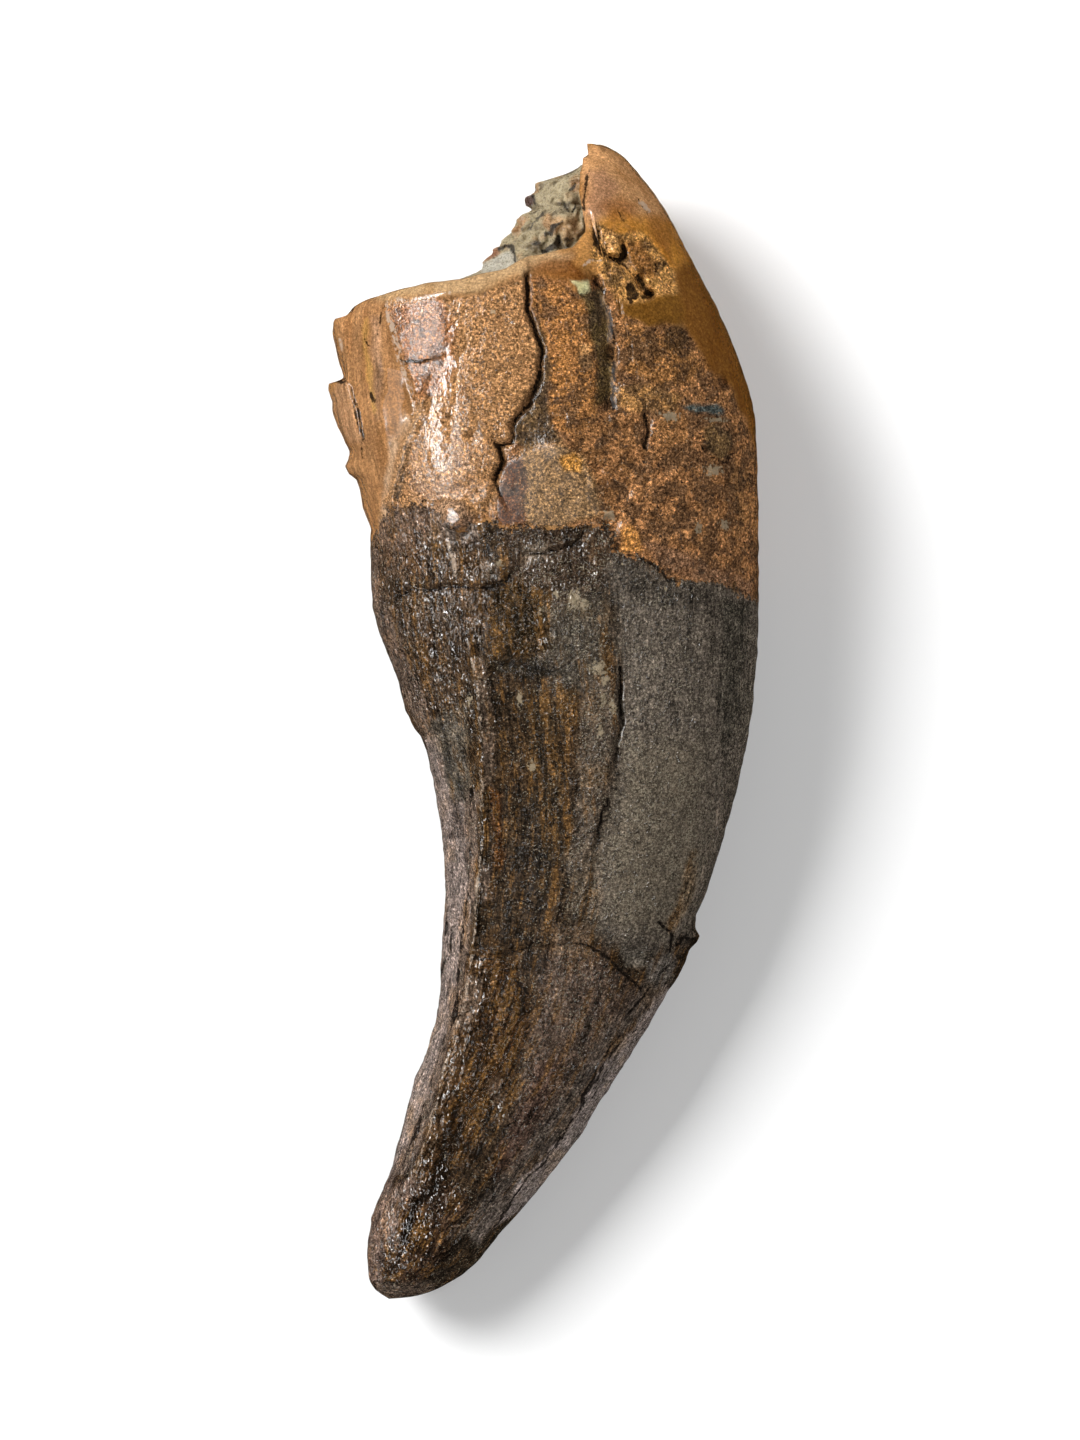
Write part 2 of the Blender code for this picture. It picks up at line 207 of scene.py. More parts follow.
# The pulp cavity, upward from its floor: y, its two edges' x, its lowest and highest z
CAVITY = np.array([
    (CAVITY_FLOOR_Y, -3.0, -1.0, 18.0, 20.0),
    (34.0, -7.5, 4.5, 13.5, 24.0),
    (39.0, -12.5, 10.0, 10.5, 27.5),
    (47.0, -18.5, 13.5, 8.6, 30.0),
    (54.0, -17.0, 13.0, 8.2, 30.5),
    (58.0, -10.5, 11.4, 8.6, 30.3),
    (60.5, -6.6, 10.2, 9.0, 30.0),
    (64.0, -3.8, 9.0, 9.4, 29.6),
    (68.0, -1.6, 8.0, 10.0, 28.6),
    (72.0, 1.5, 8.0, 11.0, 27.0),
    (76.0, 4.0, 8.4, 12.5, 25.5),
])
print("slices:", len(SECTIONS), "from y", TIP_Y, "to", ROOT_TOP_Y, "mm")

# %% [markdown]
# ## Breaks, ledges and carinae
# What makes the tooth itself is damage: a long crack and a gutter down the root, holes
# under the splinter, flakes gone from the edge, a break across the crown with a
# three-cornered hollow, and the two cutting edges. Each is a route or a spot, and a small
# height function of the distance to it. They add up, as chips and dents do.

# %% Routes of the breaks
CONCAVE_FLAKES = np.array([
    (-58.0, 0.0), (-55.0, 0.3), (-48.5, 0.5), (-46.3, 0.8), (-44.0, 0.6), (-41.0, 0.5), (-38.5, 0.3),
    (-35.0, 0.0), (-16.0, 0.25), (-12.0, 0.1), (-8.8, 0.0), (-6.2, -0.3), (-3.6, -0.7),
    (-1.9, -0.8), (-0.8, -0.3), (1.6, -0.1), (5.0, -0.4), (8.5, -0.3), (10.5, 0.0), (14.5, 0.4),
    (18.0, 0.4), (21.8, 0.2), (23.6, -0.1), (25.0, -0.5), (27.8, -0.1), (30.0, -0.35), (31.5, -0.3),
    (32.2, 0.5), (33.2, 0.7), (34.0, 0.1), (35.2, -0.5), (36.3, -0.2), (38.3, 0.2), (40.4, 0.3),
    (41.6, 0.1), (43.0, 0.5), (43.9, 0.4), (44.3, -1.0), (44.7, -1.6), (46.9, -1.0), (49.3, -0.3),
    (51.6, 0.5), (52.2, 0.6), (52.5, -1.0), (53.4, -0.9), (54.2, -0.6), (55.2, 0.0),
])
CONVEX_CHIP = np.array([
    (-66.0, 0.0), (-63.0, 0.4), (-60.0, 0.6), (-53.5, 0.5), (-51.0, 0.0), (-35.0, 0.0), (-33.5, 0.5),
    (-31.0, 0.7), (-29.6, 0.6), (-28.6, 1.1), (-27.7, 1.3), (-26.8, 0.4), (-25.0, -0.2), (-23.0, 0.0),
])
WALL_CREASE = [(-20.8, 53.7), (-19.4, 50.5), (-18.3, 46.5), (-16.4, 41.5)]
WALL_FOLD = [(-15.8, 41.5), (-17.0, 38.0), (-18.5, 34.0), (-19.4, 30.0), (-20.4, 25.0),
             (-22.0, 22.5)]
LONG_CRACK = [(-2.2, 57.3), (-2.1, 52.7), (-1.3, 50.6), (-0.3, 47.5), (-0.8, 44.0),
              (-1.7, 41.0), (-3.9, 38.9), (-4.3, 36.2), (-6.0, 35.6), (-5.4, 33.6),
              (-6.2, 31.0)]
GUTTER = spots((594, 284), (603, 320), (607, 360), (607, 412))
NECK_CRACK = [(-18.6, 16.1), (-16.4, 17.0), (-12.0, 17.4), (-8.6, 17.1), (-5.4, 17.7),
              (-4.4, 18.9)]
BAND_LEDGE = [(-7.6, 7.2), (-4.6, 7.8), (-1.0, 6.8)]
STEP_CRACK = [(9.8, 7.0), (9.8, 0.5), (8.9, -4.9), (7.9, -9.5), (6.8, -14.0), (6.6, -17.0),
              (5.5, -22.0)]
CROWN_BREAK = [(-10.7, -29.6), (-7.1, -30.5), (-0.8, -28.9), (5.2, -28.6)]
NOTCH_EDGE = [(5.2, -28.6), (7.0, -29.5), (8.2, -30.4), (9.6, -31.8), (12.4, -34.4)]
NOTCH_FAR_EDGE = [(12.4, -34.4), (15.5, -32.3), (19.6, -28.6)]
REAR_CARINA = [(-9.7, 1.0), (-9.4, -12.0), (-9.8, -22.0), (-10.9, -30.0), (-11.6, -38.0),
               (-14.0, -45.0), (-16.4, -52.5), (-18.6, -57.5)]
FRONT_CARINA = [(12.0, -39.5), (8.0, -44.0), (3.5, -52.0), (-0.6, -57.5), (-6.5, -65.5)]
WEAR_FACET = [(-5.0, -65.0), (-10.3, -67.0), (-12.9, -69.4), (-15.4, -73.6)]

# Lumps and, below zero, pits: x, y, radius across, radius along and height in mm
BUMPS = [
    (-11.8, 26.4, 2.6, 2.2, 1.9), (10.1, 60.5, 0.6, 1.1, -0.8), (14.4, 58.6, 0.5, 0.9, -0.8),
    (12.6, 56.6, 0.7, 1.1, -1.3), (13.5, 55.1, 0.9, 0.7, -1.5), (15.6, 60.4, 1.3, 1.3, 0.3),
    (8.6, 47.2, 0.8, 1.4, -1.6), (11.6, -30.4, 2.6, 1.8, -1.3), (22.9, 43.8, 1.0, 1.0, -1.4),
    (-9.2, 36.7, 1.0, 0.8, -0.4), (-2.0, 35.6, 2.4, 1.8, -0.4), (2.2, 34.8, 1.6, 1.4, 0.6),
    (-8.0, 30.4, 3.4, 1.8, -0.3), (10.5, 24.0, 1.5, 1.8, 0.5), (-19.0, -59.6, 1.6, 2.4, 0.6),
]

# Finer routes, read off the picture
ENAMEL_FOLD = spots((527, 556), (545, 556), (560, 550), (572, 545), (582, 535))
PANEL_CRACK = spots((494, 446), (502, 458), (502, 474), (496, 484), (502, 500))
PANEL_STEP = spots((404, 366), (420, 367), (436, 363))
ROOT_SLIT = spots((643, 419), (646, 436), (644, 452))
ROOT_ARC = spots((700, 450), (706, 459), (721, 464), (731, 456))
APEX_SLIT = spots((636, 202), (642, 211), (649, 218), (666, 217))
CHIP_CRACK = spots((697, 940), (681, 937), (679, 942), (670, 947), (668, 951), (672, 934), (659, 922))
FLAKE_STEP = spots((345, 379), (353, 390), (360, 412), (365, 440), (364, 462))
PANEL_EDGE = spots((388, 306), (390, 318), (395, 334), (403, 365), (412, 389), (418, 404))
FOLD_GROOVE = spots((417, 406), (413, 432), (409, 460), (404, 485), (400, 508))
GUTTER_WALL = spots((592, 286), (606, 300), (611, 330), (613, 360), (612, 414))
CREVICE = spots((612, 264), (622, 270), (630, 278), (640, 288), (647, 298))
HOLLOW_EDGE = spots((594, 238), (598, 250), (604, 260), (614, 265), (624, 262), (622, 250))
TIP_CRACK = spots((444, 1160), (437, 1175), (424, 1194), (414, 1214), (408, 1236))
BEAD_RIDGE = spots((468, 640), (476, 680), (481, 715), (483, 800), (480, 870), (474, 940), (464, 1000),
                   (446, 1065), (431, 1125), (414, 1172))
SHORT_RIDGES = [
    spots((417, 545), (421, 560), (433, 586)), spots((470, 530), (474, 560), (482, 585)),
    spots((410, 600), (418, 625), (430, 655), (440, 690)), spots((448, 622), (456, 650), (464, 690)),
    spots((474, 600), (477, 640)), spots((476, 680), (492, 668)), spots((460, 690), (470, 720), (478, 760)),
    spots((540, 620), (546, 650)), spots((410, 720), (424, 760), (430, 800)),
]
BAND_SEAM = spots((367, 300), (366, 343), (369, 377), (374, 403), (377, 423))

# %% The shape across a break
def groove(x, y, route, half_width, depth):
    """A rounded furrow along a route: depth times one minus a soft step of the distance."""
    distance = np.abs(distance_to_route(x, y, route))
    return -depth * (1.0 - smooth_step(distance, 0.0, half_width))


def ledge(x, y, route, height, run_out, lip=0.25):
    """A step down to the route's right-hand side that fades out over run_out."""
    distance = distance_to_route(x, y, route)
    low = smooth_step(-distance, -lip, lip) * (1.0 - smooth_step(-distance, lip, run_out))
    return -height * low


def shoulder(x, y, route, height, wide, steep):
    """A ridge along a route: height times a squared fall, over wide on its left and steep on its right."""
    distance = distance_to_route(x, y, route)
    fall = np.where(distance > 0.0, distance / wide, -distance / steep)
    return height * (1.0 - np.clip(fall, 0.0, 1.0)) ** 2


# %% Height of all the breaks
# Shape, route, then its sizes in mm: half width and depth, or height and reach
BREAKS = [
    (groove, WALL_FOLD, 1.2, -0.8), (ledge, WALL_FOLD, 1.0, 5.0),
    (ledge, LONG_CRACK[::-1], 0.6, 7.0), (groove, LONG_CRACK, 0.5, 1.2),
    (shoulder, GUTTER, -1.9, 0.9, 2.6), (ledge, NECK_CRACK, 0.5, 6.0),
    (groove, NECK_CRACK, 0.5, 0.7), (ledge, BAND_LEDGE, 0.5, 4.0),
    (ledge, STEP_CRACK[::-1], 0.4, 5.0), (groove, STEP_CRACK[:3], 0.5, 0.8),
    (ledge, CROWN_BREAK, 0.35, 8.0), (groove, CROWN_BREAK, 0.4, 0.3),
    (ledge, NOTCH_EDGE[::-1], 1.2, 5.0), (ledge, NOTCH_FAR_EDGE, 0.8, 7.0),
    (ledge, WEAR_FACET[::-1], 0.7, 6.0), (ledge, ENAMEL_FOLD, 0.3, 1.6),
    (groove, ENAMEL_FOLD, 0.4, 0.5), (ledge, FLAKE_STEP[::-1], 0.5, 3.0),
    (groove, FLAKE_STEP, 0.4, 0.4), (ledge, PANEL_EDGE, 0.9, 3.5), (groove, FOLD_GROOVE, 0.7, 0.3),
    (groove, CREVICE, 1.0, 1.2), (groove, HOLLOW_EDGE, 0.8, 1.0), (groove, GUTTER_WALL, 0.9, 0.4),
    (ledge, PANEL_CRACK[::-1], 0.3, 3.0), (groove, PANEL_CRACK, 0.4, 0.35),
    (ledge, PANEL_STEP, 0.25, 3.0), (groove, ROOT_SLIT, 0.5, 0.8), (groove, ROOT_ARC, 0.4, 0.4),
    (groove, APEX_SLIT, 0.45, 0.5), (groove, CHIP_CRACK, 0.4, 0.5), (groove, TIP_CRACK, 0.5, 0.08),
    (groove, BAND_SEAM, 0.4, 0.3),
]
WALL_SLOPE = 0.32            # the left wall falls so many mm for each mm beyond its crease
WALL_WIDTH = 5.0
FLANK_SIZES = (3.3, 8.0, 3.6)          # mm, for the shoulder along the ridge of beads


def relief(x, y):
    """Height that breaks and wear add to the side facing up, in mm."""
    beside_wall = np.maximum(-distance_to_route(x, y, WALL_CREASE), 0.0)
    height = -WALL_SLOPE * np.minimum(beside_wall, WALL_WIDTH) * smooth_step(y, 38.0, 43.0)
    for shape, route, *sizes in BREAKS:
        height += shape(x, y, route, *sizes)
    along_crown = np.interp(y, (-62.0, -45.0, -30.0, 2.0, 14.0), (0.5, 1.0, 1.0, 0.9, 0.0))
    height += shoulder(x, y, BEAD_RIDGE, *FLANK_SIZES) * along_crown
    for cx, cy, across, along, rise in BUMPS:
        away = np.hypot((x - cx) / across, (y - cy) / along)
        height += rise * (1.0 - smooth_step(away, 0.3, 1.3))
    return height


print("breaks:", len(BREAKS), "and lumps or pits:", len(BUMPS))

# %% [markdown]
# ## Grain of bone and crown
# Bone that has lost its skin is pitted and spongy. Filler and enamel are smooth, and the
# crown has long faint wrinkles. The grain is a noise whose strength follows a map, so the
# smooth repairs meet the rough bone along a clear line.

# %% Where the surface is rough bone, and where the crown begins
CROWN_EDGE = spots((300, 560), (372, 541), (391, 508), (410, 508), (429, 506), (440, 520),
                   (462, 533), (479, 524), (498, 524), (513, 530), (541, 529), (558, 530),
                   (574, 529), (586, 529), (598, 527), (609, 530), (613, 538), (613, 553),
                   (626, 556), (644, 561), (658, 570), (665, 581), (678, 584), (702, 581),
                   (721, 582), (731, 587), (739, 595), (756, 601), (800, 604))
ROUGH_BONE = spots((387, 311), (404, 303), (440, 305), (485, 297), (512, 289), (526, 281),
                   (545, 286), (566, 289), (574, 299), (590, 297), (592, 278), (604, 270),
                   (614, 290), (622, 320), (650, 334), (668, 326), (686, 334), (702, 358),
                   (712, 378), (728, 386), (742, 414), (754, 446), (770, 460), (770, 640),
                   (600, 640), (392, 560), (386, 510), (394, 478), (404, 444), (416, 411),
                   (412, 389), (403, 365), (395, 334))
PIT_CORNERS = [(591, 238), (600, 231), (622, 240), (642, 236), (656, 252), (674, 272), (674, 296),
               (652, 303), (634, 311), (614, 300), (600, 280), (592, 262)]
PIT_BONE = spots(*PIT_CORNERS)

LEFT_WALL = spots((320, 320), (368, 306), (386, 312), (398, 360), (410, 404), (390, 450), (376, 545),
                  (320, 545))
LUMPY_NECK = spots((385, 560), (392, 512), (440, 516), (520, 540), (600, 540), (600, 600), (560, 640),
                   (550, 700), (500, 690), (460, 620), (430, 660), (400, 640))
ROUGH_ENAMEL = spots((360, 540), (400, 520), (450, 500), (520, 530), (600, 522), (640, 560), (616, 680),
                     (612, 790), (596, 900), (578, 900), (584, 780), (560, 700), (500, 680), (480, 730),
                     (490, 950), (540, 1000), (500, 1100), (480, 1180), (470, 1230), (400, 1310),
                     (340, 1280), (380, 1180), (440, 1000), (462, 900), (462, 700), (410, 700))


def surface_maps(x, y):
    """Shares from 0 to 1 of bare bone, of the pitted hollow and of the crown."""
    crown = 1.0 - smooth_step(distance_to_route(x, y, CROWN_EDGE), -0.25, 0.25)
    pits = inside_outline(x, y, PIT_BONE, 0.4)
    bare = np.maximum(inside_outline(x, y, ROUGH_BONE, 0.3), pits) * (1.0 - crown)
    return bare, pits, crown


# %% [markdown]
# ## Along the tooth
# Growth lines and wrinkles follow the tooth's own bend. A straightened place measures
# across the slice, along the middle line and upwards, so that one stretched noise can
# draw lines that curve with the crown.

# %% Straighten the bend
SECTION_STEPS = np.linspace(0.0, len(SECTIONS) - 1.0, 2000)
MIDDLE_KNOTS = smooth_curve(SECTIONS, SECTION_STEPS)
MIDDLE_X = (MIDDLE_KNOTS[:, 0] + MIDDLE_KNOTS[:, 2]) / 2.0
MIDDLE_Y = (MIDDLE_KNOTS[:, 1] + MIDDLE_KNOTS[:, 3]) / 2.0
MIDDLE_LENGTH = np.concatenate([[0.0], np.cumsum(np.hypot(np.diff(MIDDLE_X), np.diff(MIDDLE_Y)))])


def straightened(angle, section):
    """Place across, along the middle line and up, in mm, at an angle round a slice."""
    knots = smooth_curve(SECTIONS, section)
    half = np.hypot(knots[..., 2] - knots[..., 0], knots[..., 3] - knots[..., 1]) / 2.0
    along = np.interp(section, SECTION_STEPS, MIDDLE_LENGTH)
    return np.stack([half * np.cos(angle), along, knots[..., 5] * np.sin(angle)], axis=-1)


# %% Height of the grain
# Heights of each kind of grain, in mm
BONE_GRAIN = 0.07
RIGHT_BONE_GRAIN = 0.25
BONE_SUNK = 0.3
HOLLOW_GRAIN = 0.6
HOLLOW_SUNK = 0.45
WRINKLES = 0.04
WORN_WRINKLES = 0.2
PITTING = 0.03
WORN_PITTING = 0.07
WORN_HOLES = 0.1
NECK_LUMPS = 0.1
FILLER_WAVES = 0.06
WALL_FURROWS = 0.28


def grain_height(points, straight):
    """Height in mm: crumbly and holed on bare bone, long wrinkles and fine pits on the crown."""
    x, y = points[..., 0], points[..., 1]
    bare, pits, crown = surface_maps(x, y)
    crumble = layered_noise(points, 1.7, 11, 3) - 0.8 * np.abs(noise(points, 3.1, 10))
    right = smooth_step(x, 0.0, 8.0)
    holes = smooth_step(noise(points, 0.9, 12), 0.3, 0.75)
    hollow = layered_noise(points, 1.5, 13, 2)
    bone = bare * (BONE_GRAIN + RIGHT_BONE_GRAIN * right) * (crumble - holes)
    bone = bone + pits * (HOLLOW_GRAIN * np.abs(hollow) - HOLLOW_SUNK) - BONE_SUNK * bare * (1.0 - pits)
    worn = inside_outline(x, y, ROUGH_ENAMEL, 2.0)
    neck = inside_outline(x, y, LUMPY_NECK, 1.0)
    enamel = WRINKLES * layered_noise(straight * (1.0, 0.1, 1.0), 1.3, 14, 3)
    enamel = enamel + WORN_WRINKLES * worn * layered_noise(straight * (1.0, 0.35, 1.0), 3.4, 20, 2)
    enamel = enamel + (PITTING + WORN_PITTING * worn) * layered_noise(points, 1.2, 17, 2)
    enamel = enamel - WORN_HOLES * worn * holes + NECK_LUMPS * neck * layered_noise(points, 2.8, 25, 3)
    fill = (1.0 - np.maximum(bare, crown)) * FILLER_WAVES * layered_noise(points, 6.0, 16, 2)
    wall = (1.0 - bare) * inside_outline(x, y, LEFT_WALL, 0.8)
    fill = fill + wall * WALL_FURROWS * layered_noise(straight * (1.0, 0.16, 1.0), 2.2, 26, 3)
    return bone + crown * enamel + fill


def beads(x, y, route, size, height):
    """Glossy beads in a row: a ridge along a route, raised where noise on it is high."""
    distance = np.abs(distance_to_route(x, y, route))
    place = np.stack([x, y, 0.0 * x], axis=-1)
    raised = smooth_step(noise(place, size, 19), -0.3, 0.4)
    return height * (1.0 - smooth_step(distance, 0.1, 0.9)) * raised


# %% The tooth's outside
BELLY_POWER = 0.75           # below 1 the underside is fuller than an ellipse
FLUTE_HEIGHT = 0.25          # mm, on the underside
RAGGED_EDGE = 0.12           # mm that noise moves the outline
# Each row of beads: route, size and height
BEAD_ROWS = [(BEAD_RIDGE, 0.9, 0.4), (REAR_CARINA, 0.8, 0.35), (FRONT_CARINA, 0.8, 0.3)]
BEAD_ROWS += [(ridge, 0.9, 0.35) for ridge in SHORT_RIDGES]


def outer_surface(angle, section, inset=0.0):
    """Point at an angle round a slice: its two edges' middle plus cosine across and sine up."""
    knots = smooth_curve(SECTIONS, section)
    rear, front = knots[..., 0:2], knots[..., 2:4]
    edge, rise, drop = knots[..., 4], knots[..., 5], knots[..., 6]
    half = np.hypot(*np.moveaxis(front - rear, -1, 0)) / 2.0
    shrink = 1.0 - inset / np.maximum(half, 4.0 * inset + 0.001)
    across = np.cos(angle)
    spot = (front + rear) / 2.0 + (front - rear) / 2.0 * (across * shrink)[..., None]
    x, y = spot[..., 0], spot[..., 1]
    upper = np.maximum(np.sin(angle), 0.0)
    lower = np.maximum(-np.sin(angle), 0.0) ** BELLY_POWER
    outward = 1.0 - smooth_step(np.abs(across), 0.86, 1.0)
    height = edge + (rise * upper - drop * lower) * shrink
    body = np.stack([x, y, height], axis=-1)
    straight = straightened(angle + 0.0 * section, section + 0.0 * angle)
    shift = wobble(body)
    breaks = relief(x + shift, y - shift)
    for row in BEAD_ROWS:
        breaks += beads(x, y, *row)
    flutes = FLUTE_HEIGHT * np.sin(1.1 * (x + 0.09 * y)) * smooth_step(y, -60.0, -20.0)
    beneath = smooth_step(lower, 0.2, 0.5) * (1.0 - smooth_step(lower, 0.8, 0.9))
    height = height + np.where(upper > 0.0, breaks * outward, flutes * beneath)
    height = height + grain_height(body, straight) * smooth_step(height, 0.3, 1.5)
    flakes = np.interp(y, CONCAVE_FLAKES[:, 0], CONCAVE_FLAKES[:, 1])
    chip = np.interp(y, CONVEX_CHIP[:, 0], CONVEX_CHIP[:, 1])
    ragged = RAGGED_EDGE * layered_noise(body, 1.5, 18, 2)
    x = x - (flakes - ragged) * smooth_step(-across, 0.9, 1.0)
    x = x + (chip + ragged) * smooth_step(across, 0.9, 1.0)
    return np.stack([x, y, np.maximum(height, 0.0)], axis=-1)


# %% The pulp cavity
def cavity_surface(angle, y, gap=0.0):
    """Point on the cavity's wall: an ellipse between its edges and heights at that level."""
    level = np.interp(y, CAVITY[:, 0], np.arange(len(CAVITY)))
    knots = smooth_curve(CAVITY, level)
    rear, front, low, high = (knots[..., k] for k in range(1, 5))
    x = (front + rear) / 2.0 + np.maximum((front - rear) / 2.0 - gap, 0.05) * np.cos(angle)
    z = (high + low) / 2.0 + np.maximum((high - low) / 2.0 - gap, 0.05) * np.sin(angle)
    return np.stack([x, np.broadcast_to(y, x.shape), z], axis=-1)


# %% [markdown]
# ## One grid for the whole tooth
# The side that faces up gets most of the columns, because light and camera find it first.
# Rows stand less than half a millimetre apart. A ring at either end closes on one point,
# so the body is watertight: the tip outside, the cavity's floor inside.

# %% Rows and columns of the tooth
UPPER_COLUMNS = 200
LOWER_COLUMNS = 44
CROWN_ROWS = 254
ROOT_ROWS = 122
RIM_ROWS = 8
CAVITY_ROWS = 16


def column_angles(upper_count, lower_count):
    """Angles round a slice, closer together on the upper side and at its middle."""
    t = np.arange(upper_count) / upper_count
    upper = math.pi * (t + 0.06 * np.sin(2.0 * math.pi * t))
    lower = math.pi * (1.0 + np.arange(lower_count) / lower_count)
    return np.concatenate([upper, lower])


def tooth_grid():
    """Rows of points from the tip over the rim into the cavity, and each one's straight place."""
    angle = column_angles(UPPER_COLUMNS, LOWER_COLUMNS)[None, :]
    rim_y = np.interp(np.degrees(angle), RIM[:, 0], RIM[:, 1])
    circle = np.stack([20.0 * np.cos(angle), 20.0 * np.sin(angle), 0.0 * angle], axis=-1)
    rim_y = rim_y + 0.2 * noise(circle, 2.5, 21)
    upright = SECTIONS[SECTIONS[:, 1] > 30.0]
    steps = np.arange(len(upright)) + len(SECTIONS) - len(upright)
    rim_section = np.interp(rim_y - RIM_ROUNDING, upright[:, 1], steps)

    t = np.arange(1, CROWN_ROWS + 1)[:, None] / CROWN_ROWS
    base_y = np.interp(BASE_SECTION, SECTION_STEPS, MIDDLE_Y)
    level = MIDDLE_Y[0] + (base_y - MIDDLE_Y[0]) * (0.93 * t + 0.07 * t * t)
    crown_section = np.interp(level, MIDDLE_Y, SECTION_STEPS) + 0.0 * angle

    t = np.arange(1, ROOT_ROWS + 1)[:, None] / ROOT_ROWS
    root_section = BASE_SECTION + (rim_section - BASE_SECTION) * t
    section = np.concatenate([crown_section, root_section])
    outside = outer_surface(angle + 0.0 * section, section)

    bend = np.arange(1, RIM_ROWS + 1)[:, None] / RIM_ROWS * math.pi / 2.0
    raised = np.interp(rim_y - RIM_ROUNDING * (1.0 - np.sin(bend)), upright[:, 1], steps)
    rim = outer_surface(angle + 0.0 * bend, raised, RIM_ROUNDING * (1.0 - np.cos(bend)))

    t = np.arange(CAVITY_ROWS)[:, None] / CAVITY_ROWS
    inner = cavity_surface(angle + 0.0 * t, rim_y - 0.8 + (CAVITY_FLOOR_Y - rim_y + 0.8) * t ** 0.8)
    grid = np.concatenate([outside, rim, inner])
    section = np.concatenate([section, raised, rim_section + 0.0 * t])
    return grid, straightened(angle + 0.0 * section, section), np.broadcast_to(np.sin(angle), section.shape)


grid, straight_grid, facing_grid = tooth_grid()
print("tooth grid: %d rows by %d columns" % grid.shape[:2])


# %% [markdown]
# ## From grid to mesh
# Blender wants a list of points and a list of faces. Neighbours in the grid share a
# four-sided face, and a fan of triangles closes each end. The order of the corners makes
# every face point outwards.

# %% Close a grid into a body
def with_ends(grid, first, last):
    """List the grid's values row by row, with one more at the start and one at the end."""
    return np.concatenate([[first], grid.reshape(-1, grid.shape[-1]), [last]])


def closed_body(name, grid, first, last):
    """Faces join each point to the next column and the next row; two fans close the ends."""
    rows, ring = grid.shape[:2]
    points = with_ends(grid, first, last)
    r, c = np.meshgrid(np.arange(rows - 1), np.arange(ring), indexing="ij")
    here, beside = 1 + r * ring + c, 1 + r * ring + (c + 1) % ring
    quads = np.stack([here, here + ring, beside + ring, beside], axis=-1).reshape(-1, 4)
    c = np.arange(ring)
    top = 1 + (rows - 1) * ring
    foot_fan = np.stack([0 * c, 1 + c, 1 + (c + 1) % ring], axis=-1)
    head_fan = np.stack([0 * c + len(points) - 1, top + (c + 1) % ring, top + c], axis=-1)
    mesh = bpy.data.meshes.new(name)
    mesh.from_pydata((points * MM).tolist(), [], quads.tolist() + foot_fan.tolist() + head_fan.tolist())
    mesh.shade_smooth()
    thing = bpy.data.objects.new(name, mesh)
    bpy.context.scene.collection.objects.link(thing)
    print(name, "has", 2 * len(quads) + 2 * ring, "triangles")
    return thing, points


inner_end = np.array([-2.0, CAVITY_FLOOR_Y, 19.0])
tooth, tooth_points = closed_body("grown_tooth", grid, SECTIONS[0, [0, 1, 4]], inner_end)
tooth_straight = with_ends(straight_grid, straight_grid[0].mean(axis=0), straight_grid[-1].mean(axis=0))
tooth_facing = with_ends(facing_grid[..., None], [0.0], [0.0])[:, 0]

# %% [markdown]
# ## Pigments
# Colours are named as they look in the picture, from 0 to 255. A renderer multiplies
# linear values by the light, so the name is first made linear and then divided by the
# light that falls on a level surface.

# %% Name a colour
LEVEL_LIGHT = 1.7            # light on a level surface, where 1 shows a white one as white


def pigment(red, green, blue):
    """Share of light a stone gives back to look so: linear colour divided by the light."""
    share = np.array([red, green, blue]) / 255.0
    return np.where(share < 0.04045, share / 12.92, ((share + 0.055) / 1.055) ** 2.4) / LEVEL_LIGHT


def blend(under, over, cover):
    """Lay one colour over another with a cover from 0 to 1."""
    cover = np.clip(cover, 0.0, 1.0)[..., None]
    return under * (1.0 - cover) + over * cover


def zone(tone, softness, cover, makeup, *corners):
    """One zone: its colour as a pigment, and its corners in the picture as places in mm."""
    return pigment(*tone), softness, cover, makeup, spots(*corners)


# %% [markdown]
# ## Zones of the root
# The root is a patchwork. Filler, smoothed by hand, makes the rim, the left wall and the
# right edge. Between them lies old bone in panels of brown, orange and grey. Each zone has
# a colour, the softness of its edge in mm, a cover, a make-up of three shares, which are
# warm patches, dark patches and gloss, and the corners of a closed outline.

